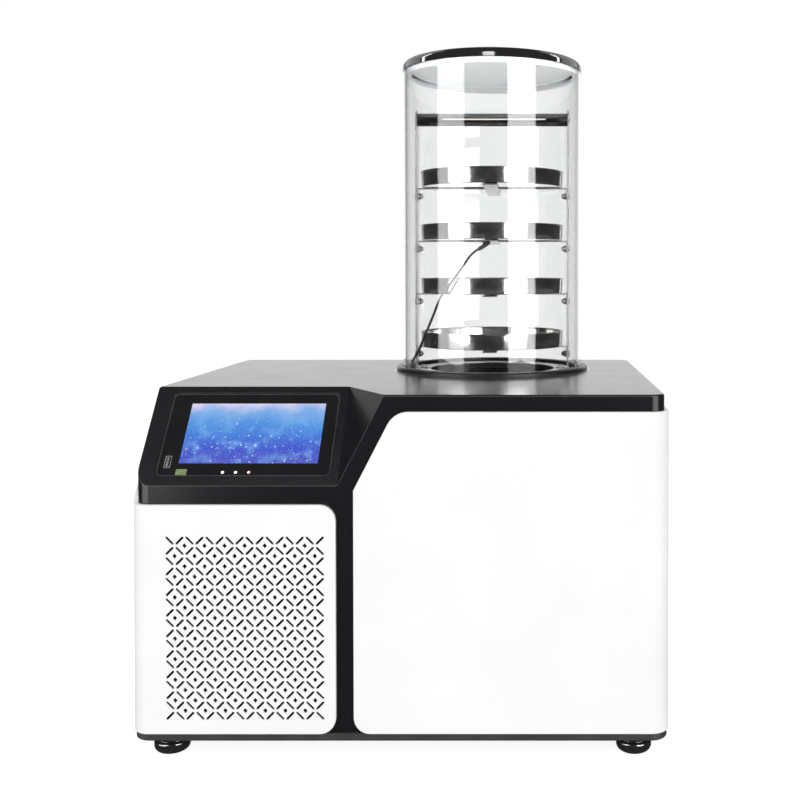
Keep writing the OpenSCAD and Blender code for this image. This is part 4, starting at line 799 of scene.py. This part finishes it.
def make_world():
    """White to the camera, plain soft light on matt surfaces, and a studio in reflections.

    The studio is dim, with a bright wall behind the object.
    """
    soft_level = 0.395
    wall_level = 1.12
    room_level = 0.03
    world = bpy.data.worlds.new("world")
    scene.world = world
    world.use_nodes = True
    tree = world.node_tree
    tree.nodes.clear()
    new = tree.nodes.new

    def ranged(value, start, end):
        node = new("ShaderNodeMapRange")
        node.interpolation_type = "SMOOTHSTEP"
        node.inputs["From Min"].default_value = start
        node.inputs["From Max"].default_value = end
        tree.links.new(value, node.inputs["Value"])
        return node.outputs["Result"]

    def choose(factor, a, b):
        """a where the factor is 0, b where it is 1."""
        node = new("ShaderNodeMix")
        node.data_type = "FLOAT"
        tree.links.new(factor, node.inputs["Factor"])
        for socket, value in zip(MIX_NUMBERS, (a, b)):
            feed(tree, node.inputs[socket], value)
        return node.outputs[0]

    coords = new("ShaderNodeTexCoord")
    split = new("ShaderNodeSeparateXYZ")
    tree.links.new(coords.outputs["Generated"], split.inputs[0])
    behind = ranged(split.outputs["Y"], 0.76, 0.92)
    below_top = ranged(split.outputs["Z"], 0.75, 0.35)
    wall = maths(tree, "MULTIPLY", behind, below_top)
    studio = maths(tree, "ADD", maths(tree, "MULTIPLY", wall, wall_level), room_level)
    path = new("ShaderNodeLightPath")
    level = choose(maths(tree, "LESS_THAN", path.outputs["Glossy Depth"], 0.5), studio, 1.0)
    level = choose(maths(tree, "GREATER_THAN", path.outputs["Diffuse Depth"], 0.5), level, soft_level)
    background = new("ShaderNodeBackground")
    background.inputs["Color"].default_value = (1, 1, 1, 1)
    tree.links.new(level, background.inputs["Strength"])
    output = new("ShaderNodeOutputWorld")
    tree.links.new(background.outputs[0], output.inputs["Surface"])


def pieces(*names):
    """The scene's objects of these names."""
    return [bpy.data.objects[name] for name in names]


def make_main_lights():
    """A key, a fill and a top light that no surface reflects, and strips that show only so.

    The strips skip the pieces that they would make too bright; the shell has weaker ones.
    """
    jar = (JAR[0] * MM, JAR[1] * MM, 0.55)
    right, right_size = (1.12, -1.22, 0.7), (1.05, 1.7)
    left, left_size = (-1.186, -0.985, 0.7), (1.06, 1.7)
    front = (0, 0, 0.25)
    skipped = pieces("cover_shell_finished", "left_panel_finished", "right_panel_finished",
                     "console_bezel_finished", "jar_lid_plate")
    soft_light("strip_right", right, jar, right_size, 38, diffuse=False, skip=skipped)
    soft_light("strip_left", left, jar, left_size, 27, diffuse=False, skip=skipped)
    soft_light("key", (-1.5, -2.4, 2.2), front, (2.2, 1.8), 38.5, glossy=False)
    soft_light("fill", (1.9, -2.2, 1.6), front, (2.0, 1.8), 26, glossy=False)
    soft_light("top", (0, 0.4, 3.0), (0, 0, 0.3), (2.5, 2.5), 18.3, glossy=False)
    shell = pieces("cover_shell_finished")
    soft_light("shell_right", right, jar, right_size, 16, diffuse=False, only=shell)
    soft_light("shell_left", left, jar, left_size, 13, diffuse=False, only=shell)


def make_accents():
    """Small lights, each for one sub-part's edges or highlights."""
    def accent(name, place, target, size, power, only, **kw):
        soft_light(name, place, target, size, power, diffuse=False, only=only, **kw)

    shell = pieces("cover_shell_finished")
    accent("edge_strip", (0, -1.2, 1.3), (-0.1, -0.23, 0.35), (2.4, 0.5), 22, shell)
    accent("band_glow", (-0.86, -1.28, 0.4), (-0.28, -0.24, 0.35), (0.5, 0.9), 1.6, shell)
    accent("cheek_glow", (-1.07, 0.78, 0.87), (-0.05, -0.2, 0.34), (0.8, 0.5), 0.7, shell)

    lid = pieces("jar_lid_plate")
    x = JAR[0] * MM
    top = (x, JAR[1] * MM, 0.78)
    underside = pieces("lid_gasket_ring")
    soft_light("lid_under", (0.1, -1.1, 0.15), top, (1.6, 0.8), 27, glossy=False, only=underside)
    for name, side in (("left", x - 1.6), ("right", x + 1.6)):
        accent("lid_wall_" + name, (side, 0.95, 1.6), top, (1.5, 2.6), 20, lid)
        accent("lid_line_" + name, (side, 0.1, 1.1), top, (0.08, 1.6), 16, lid)
    accent("lid_spark", (0.04, -1.2, 1.06), top, (0.3, 0.12), 2.2, lid)
    accent("tube_line", (0.082, -0.02, 0.7185), (0.082, 0.0665, 0.7155), (0.18, 0.034), 0.1,
           pieces("rack_tube_finished"), colour=(1, 0.94, 0.88))

    feet = pieces("foot_pad_front_left", "foot_pad_front_right")
    between_feet = (0, -0.21, 0.01)
    accent("foot_glow_left", (-0.82, -1.25, 0.8), between_feet, (0.7, 0.55), 7, feet)
    accent("foot_glow_right", (0.65, -1.1, 0.8), between_feet, (0.3, 0.5), 3.2, feet)
    soft_light("usb_glow", (-1.0, -1.1, 0.6), (-0.248, -0.216, 0.31), (0.4, 0.4), 3,
               only=[nodes["usb_port"]])


def set_view():
    scene.view_settings.view_transform = "Standard"
    scene.view_settings.look = "None"
    scene.render.film_transparent = False


make_camera()
lead, lead_path, lead_length = make_cord()
materials = make_materials()
paint_frame(materials)
make_chamber(materials)
make_trays(materials)
make_feet(materials)
make_copies(materials)
make_display(materials)
make_lamps()
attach(lead, "cabinet")
lead.data.materials.append(materials["lead_black"].mat)
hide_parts("probe_cable")
make_stage()
make_main_lights()
make_accents()
make_world()
set_view()
